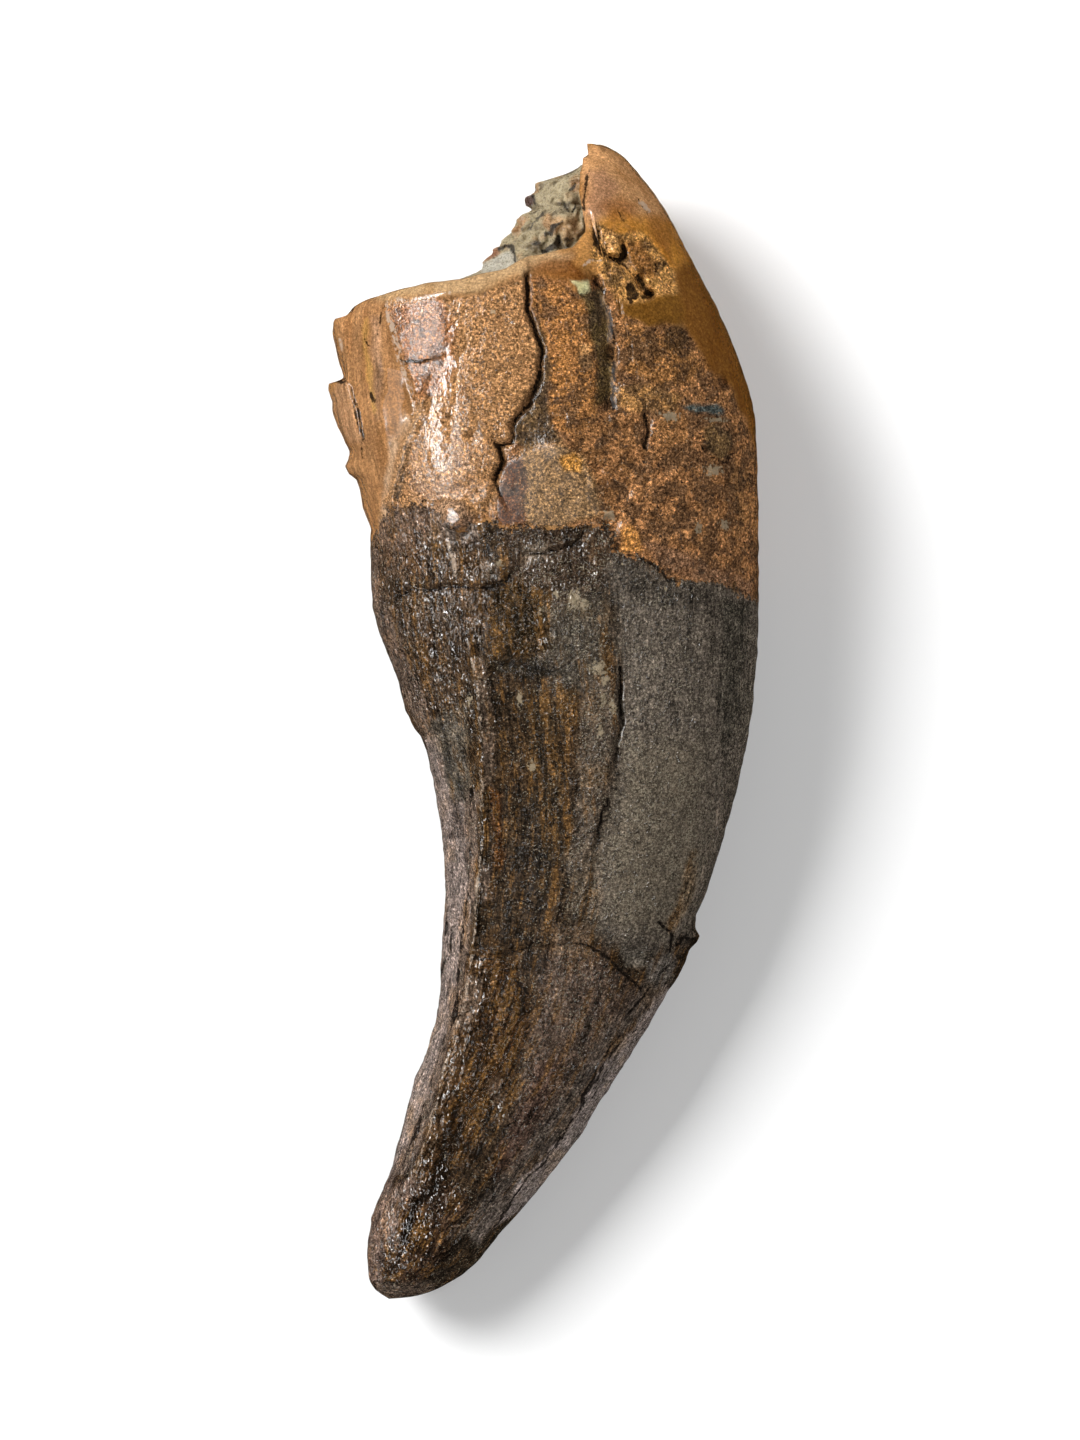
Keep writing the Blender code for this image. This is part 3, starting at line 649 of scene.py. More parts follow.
# %% Outlines and colours of the root
FILLER = pigment(178, 128, 76)
BONE = pigment(150, 106, 70)
ROOT_ZONES = {
    "rim roll": zone((200, 164, 120), 0.8, 0.9, (0.1, 0.0, 0.5), (366, 300), (404, 284), (455, 282),
        (504, 268), (550, 254), (572, 262), (566, 278), (526, 280), (485, 295), (440, 303), (404, 303),
        (380, 312)),
    "rim's brown side": zone((132, 78, 28), 0.9, 0.8, (0.3, 0.1, 0.5), (545, 266), (572, 262), (592, 268),
        (592, 284), (570, 290), (545, 286), (530, 282), (530, 272)),
    "left wall": zone((178, 130, 86), 0.8, 0.9, (0.3, 0.5, 0.4), (334, 320), (368, 298), (392, 310),
        (402, 360), (416, 404), (398, 446), (386, 505), (374, 545), (340, 460)),
    # Its pale paint is partly painted light on the fold's face turned up to the left.
    "wall's light fold": zone((204, 170, 136), 0.4, 0.9, (0.0, 0.4, 0.2), (404, 414), (412, 420),
        (409, 448), (406, 470), (398, 500), (390, 525), (378, 545), (383, 520), (386, 494), (388, 466),
        (391, 440)),
    "speckled band": zone((153, 118, 91), 0.5, 0.7, (0.2, 0.9, 0.4), (372, 322), (381, 322), (384, 360),
        (383, 424), (376, 424), (374, 380)),
    "orange wall": zone((168, 114, 59), 0.8, 0.7, (0.2, 0.1, 0.0), (386, 366), (404, 372), (408, 404),
        (394, 424), (384, 410)),
    "ochre seam": zone((206, 158, 88), 0.2, 0.85, (0.0, 0.2, 0.3), (366, 322), (369, 324), (368, 350),
        (371, 368), (373, 392), (378, 420), (373, 412), (368, 380), (364, 352)),
    "flake": zone((176, 134, 98), 0.4, 0.7, (0.3, 0.8, 0.4), (334, 386), (347, 382), (356, 410),
        (362, 446), (352, 446), (338, 426), (330, 404)),
    "left panel": zone((179, 132, 87), 0.5, 1.0, (0.3, 0.15, 0.5), (387, 309), (404, 303), (485, 297),
        (526, 281), (528, 315), (534, 334), (542, 366), (534, 402), (514, 424), (512, 446), (500, 480),
        (500, 520), (392, 520), (386, 505), (400, 450), (416, 410), (403, 365), (395, 334)),
    "pink panel": zone((160, 106, 68), 0.6, 0.8, (0.1, 0.3, 0.6), (389, 311), (442, 304), (456, 330),
        (456, 370), (440, 398), (418, 403), (404, 366)),
    "strip between the cracks": zone((173, 119, 67), 0.5, 1.0, (0.6, 0.45, 0.4), (531, 286), (560, 290),
        (580, 298), (596, 340), (600, 410), (580, 446), (552, 430), (548, 380), (545, 350), (533, 320)),
    "wet trough": zone((100, 80, 54), 0.4, 0.9, (0.1, 0.5, 0.3), (532, 318), (541, 338), (552, 372),
        (548, 400), (552, 432), (560, 446), (528, 454), (513, 446), (516, 424), (534, 405), (543, 370),
        (537, 345)),
    "gutter": zone((108, 89, 56), 0.45, 0.95, (0.1, 0.4, 0.35), (576, 290), (590, 300), (604, 288),
        (608, 320), (613, 350), (612, 412), (596, 412), (594, 352), (586, 316)),
    "right bone": zone((188, 133, 85), 0.5, 1.0, (0.75, 0.9, 0.55), (606, 300), (622, 320), (650, 334),
        (686, 334), (702, 358), (727, 386), (742, 414), (756, 446), (772, 620), (610, 560), (590, 522),
        (566, 470), (600, 412), (612, 400)),
    "dark upper bone": zone((155, 108, 58), 0.6, 0.6, (0.2, 0.8, 0.5), (626, 326), (664, 344), (690, 352),
        (704, 376), (668, 396), (622, 376)),
    "olive bone": zone((192, 143, 83), 0.5, 0.7, (0.2, 0.5, 0.4), (612, 392), (640, 388), (682, 400),
        (676, 412), (640, 418), (612, 412)),
    "rusty corner": zone((180, 128, 78), 0.5, 0.7, (0.8, 0.5, 0.5), (655, 418), (684, 416), (686, 446),
        (668, 454), (652, 440)),
    "grey oval": zone((118, 95, 62), 0.3, 0.85, (0.1, 0.5, 0.4), (702, 430), (716, 426), (729, 436),
        (728, 458), (716, 462), (703, 452)),
    "dark right edge": zone((118, 89, 58), 0.5, 0.6, (0.2, 0.6, 0.5), (728, 470), (748, 466), (752, 520),
        (738, 540), (730, 500)),
    "orange right edge": zone((208, 147, 90), 0.5, 0.6, (0.6, 0.3, 0.5), (738, 488), (752, 492),
        (756, 530), (744, 534)),
    "tan lower rim": zone((134, 103, 82), 0.4, 0.7, (0.5, 0.3, 0.5), (640, 543), (660, 546), (690, 560),
        (730, 572), (752, 580), (752, 600), (720, 584), (680, 580), (654, 562)),
    "brown bone": zone((138, 97, 60), 0.8, 0.8, (0.5, 0.45, 0.5), (566, 420), (600, 414), (634, 420),
        (636, 470), (612, 510), (586, 500), (566, 460)),
    "tan hollow": zone((160, 124, 82), 0.6, 0.95, (0.1, 0.2, 0.0), (522, 455), (556, 448), (584, 462),
        (600, 500), (600, 520), (574, 524), (548, 532), (527, 527), (514, 492)),
    "liver-brown patch": zone((76, 36, 10), 0.4, 0.8, (0.3, 0.4, 0.0), (502, 472), (522, 462), (530, 490),
        (524, 528), (500, 528)),
    "olive filler": zone((134, 90, 32), 0.4, 0.95, (0.0, 0.0, 0.4), (614, 302), (632, 310), (652, 302),
        (676, 294), (692, 326), (668, 326), (650, 334), (622, 320)),
    "dark filler on the edge": zone((143, 93, 38), 0.7, 0.95, (0.1, 0.0, 0.5), (674, 272), (692, 262),
        (780, 440), (756, 450), (742, 414), (727, 386), (708, 376), (700, 356), (684, 333), (676, 300)),
    "slate patch": zone((82, 61, 38), 0.35, 0.85, (0.0, 0.2, 0.3), (662, 332), (680, 326), (688, 344),
        (674, 358), (664, 350)),
    "blue-grey patch": zone((80, 94, 92), 0.2, 0.95, (0.0, 0.0, 0.2), (681, 408), (696, 405), (714, 405),
        (722, 413), (718, 419), (700, 417), (688, 416)),
    "amber spot": zone((236, 166, 78), 0.35, 0.8, (0.2, 0.0, 0.4), (560, 464), (572, 456), (582, 466),
        (578, 476), (564, 474)),
    "orange blob": zone((238, 166, 89), 0.4, 0.9, (0.4, 0.1, 0.4), (618, 530), (630, 525), (641, 538),
        (638, 552), (622, 554)),
    "splinter": zone((222, 166, 112), 0.8, 0.9, (0.3, 0.1, 0.5), (572, 160), (606, 140), (650, 180),
        (672, 226), (640, 232), (600, 230), (580, 236), (584, 190)),
    "splinter's amber side": zone((216, 146, 55), 0.8, 0.8, (0.3, 0.1, 0.6), (612, 214), (640, 222),
        (668, 226), (692, 262), (672, 272), (648, 250), (624, 240), (600, 234)),
    "orange filler below the splinter": zone((188, 134, 74), 0.4, 0.9, (0.2, 0.05, 0.5), (578, 236),
        (594, 236), (598, 262), (604, 276), (590, 284), (572, 268)),
    "pink on the splinter": zone((180, 132, 100), 0.8, 0.7, (0.2, 0.1, 0.4), (588, 178), (604, 172),
        (616, 190), (606, 220), (590, 226), (584, 206)),
    "orange on the splinter": zone((167, 108, 58), 0.8, 0.7, (0.3, 0.1, 0.5), (598, 210), (618, 200),
        (636, 208), (634, 220), (612, 226)),
    "olive edge of the splinter": zone((176, 115, 52), 0.6, 0.8, (0.2, 0.1, 0.4), (644, 219), (662, 218),
        (674, 240), (672, 262), (656, 246), (646, 232)),
    "pitted hollow": zone((230, 170, 94), 0.3, 0.8, (0.5, 0.4, 0.35), *PIT_CORNERS),
    "block in the hollow": zone((210, 159, 101), 0.3, 0.8, (0.1, 0.1, 0.3), (600, 238), (614, 238),
        (618, 250), (606, 257), (599, 248)),
    "plate in the hollow": zone((144, 95, 49), 0.4, 0.85, (0.2, 0.2, 0.4), (623, 248), (640, 246),
        (653, 262), (655, 282), (642, 282), (628, 266)),
    "straw patch": zone((254, 250, 190), 0.2, 0.95, (0.0, 0.0, 0.3), (571, 287), (578, 287), (588, 285),
        (590, 298), (580, 300), (577, 292)),
    "dry fold of the wall": zone((176, 122, 66), 1.0, 0.7, (0.1, 0.3, 0.0), (382, 398), (404, 400),
        (403, 444), (384, 440)),
    "furrow beside the fold": zone((182, 142, 102), 0.35, 0.8, (0.1, 0.4, 0.05), (416, 408), (424, 410),
        (414, 440), (406, 470), (400, 500), (390, 508), (398, 470), (406, 440)),
    "gutter's right wall": zone((110, 86, 56), 0.25, 0.5, (0.1, 0.5, 0.0), (590, 290), (606, 300),
        (613, 330), (616, 362), (615, 414), (608, 414), (607, 362), (604, 330), (596, 304)),
    # Its paler paint is partly a painted highlight for the lump's glints.
    "brown glossy lump": zone((150, 130, 114), 0.6, 0.5, (0.3, 0.2, 0.95), (430, 512), (444, 500),
        (464, 504), (474, 518), (474, 532), (430, 532)),
    # Painted light: paler paint that lifts the groove's shade on this side of the gutter.
    "light side of the gutter": zone((196, 148, 96), 0.3, 0.7, (0.2, 0.4, 0.3), (578, 348), (590, 350),
        (590, 376), (579, 374)),
    "pool of varnish": zone((176, 126, 84), 0.7, 0.0, (0.1, 0.1, 0.95), (448, 303), (464, 303),
        (466, 345), (456, 390), (454, 440), (450, 470), (432, 474), (426, 436), (436, 392), (450, 345)),
}

# %% [markdown]
# ## Zones of the crown
# The crown is almost black brown. Grey dust lies on its right side, amber shows through the enamel below,
# and pale strips run outside both cutting edges. The strip along the left edge is partly painted sheen.
# Paler zones on the ridge and the tip are painted highlights, and the lump's paler paint is partly one. The
# three shares are amber streaks, dust and gloss here.

# %% Outlines and colours of the crown
CROWN = pigment(64, 50, 36)
SLATE_CORNERS = [(606, 560), (660, 575), (780, 596), (770, 700), (742, 830), (712, 900), (690, 935),
                 (640, 960), (596, 936), (598, 870), (612, 790), (622, 720), (616, 640)]
SLATE_SIDE = spots(*SLATE_CORNERS)
CROWN_ZONES = {
    "brown neck": zone((73, 58, 45), 1.6, 0.9, (0.5, 0.1, 0.75), (360, 540), (480, 526), (500, 590),
        (474, 640), (462, 700), (430, 760), (350, 720)),
    "grey neck": zone((92, 71, 54), 1.2, 0.7, (0.3, 0.2, 0.7), (380, 540), (400, 524), (430, 545),
        (424, 580), (390, 575), (376, 560)),
    # Its paler paint is partly a painted highlight for the lump's glints.
    "glossy lump": zone((124, 110, 102), 0.8, 0.5, (0.8, 0.0, 0.8), (430, 508), (446, 497), (466, 502),
        (475, 516), (470, 532), (450, 538), (430, 530)),
    "brown shoulder": zone((125, 100, 82), 1.0, 0.8, (0.4, 0.1, 0.7), (378, 520), (392, 510), (430, 512),
        (440, 530), (400, 548), (374, 545)),
    "dusty foot": zone((110, 95, 78), 0.8, 0.8, (0.5, 0.4, 0.3), (566, 850), (600, 850), (596, 930),
        (572, 930)),
    "dusty neck": zone((94, 84, 72), 1.0, 0.8, (0.4, 0.6, 0.4), (536, 592), (600, 585), (608, 650),
        (592, 690), (548, 684), (530, 640)),
    # Its pale paint is partly painted sheen along the left edge.
    "left edge": zone((136, 112, 95), 0.5, 0.7, (0.3, 0.3, 0.5), (362, 548), (376, 552), (384, 600),
        (402, 650), (426, 700), (440, 744), (426, 740), (404, 700), (384, 650), (366, 600)),
    "dark neck": zone((79, 63, 50), 1.0, 0.8, (0.1, 0.45, 0.65), (505, 535), (612, 530), (650, 570),
        (600, 590), (560, 610), (510, 590)),
    "slate side": zone((114, 103, 91), 1.6, 1.0, (0.0, 0.5, 0.25), *SLATE_CORNERS),
    "dark border of the slate": zone((77, 69, 60), 0.8, 0.7, (0.0, 0.3, 0.3), (612, 556), (650, 574),
        (700, 592), (746, 604), (744, 626), (700, 614), (650, 604), (616, 590)),
    "dusty side": zone((118, 106, 90), 2.2, 0.8, (0.1, 0.8, 0.2), (630, 740), (700, 740), (704, 860),
        (664, 930), (610, 925), (604, 850)),
    "dark margin": zone((84, 79, 69), 0.8, 0.7, (0.0, 0.3, 0.4), (722, 600), (748, 604), (742, 700),
        (724, 770), (718, 700)),
    "dark band": zone((46, 39, 30), 0.7, 0.85, (0.0, 0.1, 0.4), (486, 660), (512, 656), (541, 660),
        (560, 672), (541, 678), (500, 676)),
    "amber neck": zone((64, 46, 23), 1.0, 0.8, (1.0, 0.1, 0.5), (492, 590), (520, 580), (546, 596),
        (546, 650), (520, 660), (490, 660)),
    "orange streak": zone((114, 70, 31), 0.5, 0.7, (0.8, 0.1, 0.4), (494, 790), (501, 792), (502, 868),
        (495, 866)),
    "brown streaks": zone((56, 42, 22), 1.2, 0.5, (0.8, 0.2, 0.2), (528, 690), (560, 700), (562, 880),
        (540, 900), (530, 800)),
    "dusty band": zone((116, 101, 86), 0.8, 0.7, (0.4, 0.6, 0.35), (584, 680), (616, 676), (614, 740),
        (604, 792), (590, 850), (572, 870), (578, 790)),
    "sienna edge": zone((152, 126, 96), 0.5, 0.7, (0.6, 0.2, 0.4), (699, 850), (690, 900), (674, 930),
        (664, 926), (680, 880), (692, 850)),
    "amber blade": zone((58, 36, 14), 1.5, 0.8, (1.0, 0.1, 0.45), (468, 960), (520, 960), (530, 1030),
        (500, 1110), (470, 1160), (420, 1170), (440, 1080)),
    "grey blade": zone((108, 88, 74), 1.6, 0.9, (0.4, 0.3, 0.4), (548, 950), (600, 950), (640, 1000),
        (590, 1080), (530, 1160), (500, 1180), (530, 1060)),
    "red blade": zone((84, 59, 51), 1.2, 0.5, (0.6, 0.1, 0.7), (540, 1060), (560, 1060), (530, 1140),
        (500, 1180), (490, 1170)),
    "tip": zone((75, 56, 43), 1.2, 0.8, (0.8, 0.1, 0.8), (376, 1190), (440, 1170), (470, 1200),
        (440, 1260), (400, 1310), (360, 1280)),
    "amber tip": zone((34, 18, 5), 0.8, 0.7, (1.0, 0.0, 0.9), (388, 1214), (410, 1208), (436, 1222),
        (426, 1250), (400, 1256)),
    "worn tip": zone((64, 54, 44), 0.6, 0.85, (0.3, 0.3, 0.8), (512, 1215), (498, 1224), (465, 1237),
        (445, 1257), (426, 1286), (410, 1310), (520, 1290)),
    # Its pale paint is partly painted sheen along the tip's left edge.
    "tip's left edge": zone((128, 106, 94), 0.4, 0.8, (0.4, 0.2, 0.6), (392, 1150), (404, 1155),
        (388, 1200), (382, 1240), (386, 1284), (366, 1280), (362, 1230), (372, 1190)),
    "tip's right edge": zone((180, 162, 149), 0.4, 0.8, (0.3, 0.3, 0.5), (470, 1232), (500, 1196),
        (514, 1204), (480, 1244)),
    # Painted light: paler paint that lifts the shade below the ledge of the crown's break.
    "foot of the dust": zone((124, 101, 80), 0.6, 0.8, (0.4, 0.4, 0.3), (554, 924), (590, 922),
        (592, 954), (556, 950)),
    "corner of the chip": zone((154, 143, 132), 0.5, 0.8, (0.3, 0.3, 0.5), (648, 962), (672, 950),
        (676, 966), (660, 990), (646, 990)),
    # Its paler paint is partly a painted highlight for the glints along the ridge.
    "wet ridge": zone((90, 68, 48), 0.5, 0.7, (0.6, 0.0, 1.0), (466, 950), (488, 950), (482, 1010),
        (464, 1070), (448, 1124), (428, 1180), (410, 1176), (428, 1120), (448, 1060)),
    "black gloss": zone((8, 6, 4), 0.7, 0.85, (0.0, 0.0, 0.9), (446, 1160), (448, 1176), (432, 1196),
        (416, 1216), (408, 1240), (402, 1236), (412, 1206), (428, 1180)),
    # Its pale paint is partly painted sheen along the left edge.
    "rear strip": zone((167, 148, 138), 0.25, 0.9, (0.3, 0.3, 0.4), (466, 790), (469, 882), (464, 915),
        (460, 950), (456, 990), (446, 1037), (434, 1070), (425, 1095), (410, 1139), (388, 1180),
        (372, 1180), (430, 980), (438, 860), (430, 760), (425, 730), (440, 740), (450, 790)),
    "flank beside the ridge": zone((132, 112, 98), 0.3, 0.8, (0.3, 0.3, 0.5), (464, 790), (479, 790),
        (477, 870), (470, 940), (459, 1000), (442, 1065), (427, 1125), (410, 1172), (396, 1172),
        (425, 1095), (446, 1037), (456, 990), (460, 950), (464, 915), (469, 882)),
    "crust on the neck": zone((138, 120, 102), 0.5, 0.6, (0.2, 0.5, 0.7), (522, 550), (546, 547),
        (548, 564), (524, 565)),
    "crust by the short ridge": zone((124, 106, 90), 0.5, 0.6, (0.3, 0.3, 0.8), (480, 564), (496, 562),
        (498, 580), (484, 582)),
    # Its paler paint is partly a painted highlight for the lump's glints.
    "foot of the lump": zone((134, 118, 106), 0.5, 0.6, (0.4, 0.2, 0.9), (430, 520), (474, 522),
        (480, 546), (450, 548), (430, 540)),
    "dark spot on the blade": zone((20, 14, 8), 0.5, 0.7, (0.2, 0.0, 0.3), (464, 1138), (480, 1138),
        (480, 1156), (466, 1156)),
    # Painted highlight: paler paint for the glints at the end of the tip.
    "painted highlight on the end of the tip": zone((140, 120, 104), 0.5, 0.7, (0.3, 0.2, 0.5), (380, 1282), (400, 1285),
        (432, 1282), (438, 1300), (400, 1306), (380, 1298)),
    # Painted highlight: paler paint for the glints on the blade.
    "painted highlight on the blade": zone((110, 88, 70), 0.5, 0.6, (0.5, 0.1, 0.9), (486, 1074), (498, 1074),
        (512, 1120), (500, 1124)),
    # Painted highlight: paler paint for the glints on the ridge's crest.
    "painted highlight on the crest of the ridge": zone((124, 104, 88), 0.4, 0.7, (0.3, 0.2, 0.9), (474, 660), (486, 660),
        (494, 720), (496, 780), (486, 792), (482, 720)),
    # Painted highlight: paler paint for the glints beside the ridge.
    "painted highlight beside the ridge": zone((136, 114, 98), 0.5, 0.7, (0.3, 0.2, 0.9), (482, 862), (492, 864),
        (496, 898), (484, 902)),
    # Painted highlight: paler paint for the glints on the ridge's bend.
    "painted highlight on the bend of the ridge": zone((136, 114, 96), 0.5, 0.7, (0.3, 0.1, 0.9), (466, 974), (480, 976),
        (476, 1012), (460, 1030), (450, 1026), (462, 1000)),
    "dark patch on the band": zone((30, 22, 12), 0.5, 0.7, (0.2, 0.0, 0.3), (512, 846), (546, 846),
        (548, 866), (514, 868)),
    "amber patch on the neck": zone((118, 90, 58), 0.6, 0.6, (0.8, 0.1, 0.5), (560, 688), (576, 688),
        (576, 724), (562, 724)),
    "dark stripe on the strip": zone((64, 52, 44), 0.5, 0.7, (0.2, 0.1, 0.4), (451, 798), (462, 798),
        (461, 836), (451, 836)),
    # Its pale paint is partly painted sheen along the right edge.
    "pale edge of the margin": zone((126, 116, 102), 0.5, 0.7, (0.1, 0.3, 0.5), (737, 682), (756, 682),
        (756, 740), (739, 742)),
    "pale corner above the chip": zone((150, 140, 126), 0.5, 0.7, (0.2, 0.5, 0.4), (620, 946), (646, 944),
        (644, 964), (624, 966)),
    # Painted highlight: paler paint for the glints on the tip's left side.
    "painted highlight on the tip's left side": zone((132, 110, 96), 0.5, 0.7, (0.3, 0.1, 0.9), (382, 1196), (400, 1186),
        (412, 1174), (417, 1194), (400, 1206), (397, 1238), (382, 1240)),
    "rear strip's brown top": zone((107, 97, 84), 0.6, 0.8, (0.4, 0.2, 0.5), (430, 720), (468, 700),
        (469, 800), (450, 800), (440, 760)),
    "brown flank": zone((118, 104, 93), 1.0, 0.9, (0.4, 0.2, 0.5), (640, 985), (664, 985), (614, 1060),
        (560, 1140), (510, 1200), (470, 1230), (452, 1236), (500, 1180), (560, 1100), (610, 1020)),
    "front strip": zone((178, 162, 154), 0.3, 0.85, (0.2, 0.4, 0.4), (664, 985), (636, 1027), (614, 1052),
        (601, 1062), (569, 1124), (544, 1159), (522, 1177), (496, 1226), (560, 1190), (680, 1000)),
}
print("zones on the root:", len(ROOT_ZONES), "and on the crown:", len(CROWN_ZONES))

# %% [markdown]
# ## Painting the tooth
# Each point gets its colour as a restorer would lay it: a ground, then zones with uneven
# edges, then blotches. Bone and crown are painted apart and stored on the points, with the
# distance to the border between them. The material draws that border, and everything else
# that is finer than the grid.

# %% Colour and make-up of every point
BONE_MAKEUP = (0.2, 0.05, 0.45)
CROWN_MAKEUP = (0.5, 0.1, 0.15)
EDGE_DRIFT = 0.4             # mm that noise moves a zone's edge


def lay_zones(x, y, upper, ground, makeup, zones):
    """Blend each zone's colour and make-up over the ground inside its outline."""
    colour = ground * np.ones((len(x), 3))
    shares = np.array(makeup) * np.ones((len(x), 3))
    for tone, softness, cover, zone_makeup, outline in zones.values():
        share = upper * inside_outline(x, y, outline, softness)
        colour = blend(colour, tone, cover * share)
        shares = blend(shares, np.array(zone_makeup), share)
    return colour, shares


def paint_tooth(points, straight, facing):
    """Bone colour, crown colour, make-up and bare share for each point in mm."""
    drift = np.stack([layered_noise(points, 2.4, 31, 3), layered_noise(points, 2.4, 32, 3)], axis=-1)
    x = points[:, 0] + EDGE_DRIFT * drift[:, 0]
    y = points[:, 1] + EDGE_DRIFT * drift[:, 1]
    bare, _, crown = surface_maps(x, y)
    upper = smooth_step(facing, -0.35, 0.05)

    ground = blend(FILLER * np.ones_like(points), BONE, bare)
    bone, bone_makeup = lay_zones(x, y, upper, ground, BONE_MAKEUP, ROOT_ZONES)
    wall = (1.0 - bare) * (1.0 - crown)
    band = layered_noise(straight * (1.0, 0.25, 1.0), 1.8, 38, 3)
    bone = blend(bone, bone * (0.72, 0.62, 0.48), wall * smooth_step(band, 0.1, 0.9) * 0.5)
    bone = blend(bone, bone * (1.25, 1.3, 1.35), wall * smooth_step(-band, 0.2, 1.0) * 0.5)

    enamel, crown_makeup = lay_zones(x, y, upper, CROWN, CROWN_MAKEUP, CROWN_ZONES)
    patch = layered_noise(points, 3.5, 39, 3)
    brown = 1.0 - inside_outline(x, y, SLATE_SIDE, 2.0)
    enamel = blend(enamel, enamel * (1.5, 1.3, 1.0), brown * smooth_step(patch, 0.2, 0.9) * 0.6)
    enamel = blend(enamel, enamel * 0.6, brown * smooth_step(-patch, 0.2, 0.9) * 0.7)
    makeup = blend(bone_makeup, crown_makeup, crown)
    return np.clip(bone, 0.0, 1.0), np.clip(enamel, 0.0, 1.0), np.clip(makeup, 0.0, 1.0), bare


# %% [markdown]
# ## Cracks, painted shade and painted glints finer than the grid
# A crack a tenth of a millimetre wide falls between the points. What the points can hold is the distance to
# it, which changes evenly, so the material can draw a sharp line wherever that distance is small. Dark
# lines of painted shade in pits and under steps, and the painted shadow below the bone's edge, are stored
# in the same way. So are pale edges where flakes broke off, pale lines of painted glints, spots of sediment
# that stuck on and the wet rows of beads.

# %% Routes of the dark and the light lines
def line(half_width, *corners):
    """A fine line: its route through places in the picture, and half its width in mm."""
    return spots(*corners), half_width


DARK_LINES = [
    (LONG_CRACK, 0.16), (NECK_CRACK, 0.14), (STEP_CRACK[:2], 0.16), (STEP_CRACK[3:5], 0.06),
    (CROWN_BREAK, 0.04), (NOTCH_EDGE, 0.14), (NOTCH_FAR_EDGE, 0.08), (ENAMEL_FOLD, 0.12),
    (PANEL_CRACK, 0.05), (PANEL_STEP, 0.02), (ROOT_SLIT, 0.14), (ROOT_ARC, 0.06), (CHIP_CRACK, 0.12),
    # The FLAKE_STEP line below is painted shadow along the step of a flake.
    (REAR_CARINA, 0.04), (FRONT_CARINA, 0.05), (FLAKE_STEP, 0.05), (GUTTER_WALL, 0.1),
    line(0.04, (346, 384), (355, 405), (361, 433)), line(0.08, (366, 334), (365, 341), (368, 348)),
    # The wide line at (337, 381) below is painted shade under an overhanging flake.
    line(0.12, (372, 396), (375, 404)), line(0.2, (337, 381), (344, 385)),
    line(0.12, (593, 241), (597, 252), (603, 261)), line(0.02, (616, 214), (622, 225)),
    line(0.02, (389, 306), (381, 318), (380, 340)), line(0.05, (357, 304), (350, 316)),
    line(0.06, (638, 203), (642, 211), (648, 218)),
    # Painted shadow: the next line lies beneath the bone's lower edge, where it overhangs the crown.
    line(0.08, (626, 557), (644, 562), (658, 571), (665, 582), (702, 582)),
    line(0.05, (508, 902), (520, 899), (533, 903)), line(0.05, (502, 965), (525, 988), (533, 1001)),
    line(0.05, (447, 909), (446, 920), (444, 933)),
    line(0.06, (455, 924), (452, 940), (451, 951), (443, 964), (436, 990), (424, 1030), (410, 1080)),
    line(0.12, (589, 176), (585, 197), (583, 216), (586, 222)),
    line(0.1, (466, 953), (479, 958), (489, 957)), line(0.08, (650, 985), (638, 1002), (628, 1012)),
    line(0.08, (620, 1034), (606, 1050), (590, 1080), (584, 1096)),
    # These short wide lines, down to the crevice, are painted shade inside the pits of the hollow.
    line(0.28, (622, 251), (625, 257), (621, 263)), line(0.14, (594, 240), (595, 252)),
    line(0.14, (603, 256), (604, 260)), line(0.12, (655, 267), (655, 277)),
    line(0.16, (638, 282), (643, 291)), line(0.24, (641, 302), (646, 299), (652, 299)),
    line(0.14, (629, 305), (631, 309)), line(0.5, (629, 293), (634, 301)), (CREVICE, 0.08),
    (HOLLOW_EDGE, 0.08),
]
# Pale lines: painted glints along the chain below the lump, the ridge of beads, the slit on the splinter,
# and the panel's left and top edges. The others are pale edges where flakes broke off.
CHIP_AND_GLINT_LINES = [
    line(0.12, (447, 532), (452, 546), (454, 561), (456, 578)), (BEAD_RIDGE, 0.02),
    line(0.02, (722, 793), (716, 825), (708, 851), (699, 882), (691, 899)),
    line(0.16, (641, 207), (649, 215)), line(0.24, (389, 308), (395, 340), (404, 368), (412, 396)),
    line(0.16, (392, 306), (420, 302), (450, 298)), line(0.16, (342, 343), (343, 351)),
    line(0.06, (583, 270), (594, 267), (612, 267)),
]
BEAD_HALF_WIDTH = 0.4
BEAD_LINES = [(row[0], BEAD_HALF_WIDTH) for row in BEAD_ROWS]
print("dark lines:", len(DARK_LINES), "light lines:", len(CHIP_AND_GLINT_LINES), "rows of beads:", len(BEAD_LINES))

# %% Distance to the nearest line or spot
FAR = 2.0                    # mm past a line, or times its own size past a spot: nothing is drawn


def line_distance(points, lines, seed):
    """Distance in mm past the edge of the nearest line of a list, at most FAR."""
    shift = wobble(points)
    x, y = points[:, 0] + shift, points[:, 1] - shift
    width = 0.12 * noise(points, 1.8, seed)
    nearest = np.full(len(points), FAR)
    for route, half_width in lines:
        nearest = np.minimum(nearest, np.abs(distance_to_route(x, y, route)) - half_width - width)
    return nearest


# Sediment that stuck on: column, row, half its width and half its height in the picture
PALE_SPOTS = [
    (575, 602, 9, 11), (582, 606, 7, 7), (597, 669, 9, 7), (500, 566, 4, 4), (532, 766, 4, 7),
    (608, 518, 6, 7), (520, 700, 3, 8), (494, 318, 3, 3), (622, 566, 2, 2), (602, 700, 4, 10),
    (668, 420, 12, 5), (714, 423, 14, 3), (712, 473, 10, 6), (697, 530, 4, 7), (723, 527, 6, 6),
    (604, 680, 5, 5), (612, 706, 4, 8), (600, 730, 3, 6), (664, 590, 3, 3), (540, 612, 3, 5),
    (556, 596, 3, 4), (470, 700, 3, 6),
]


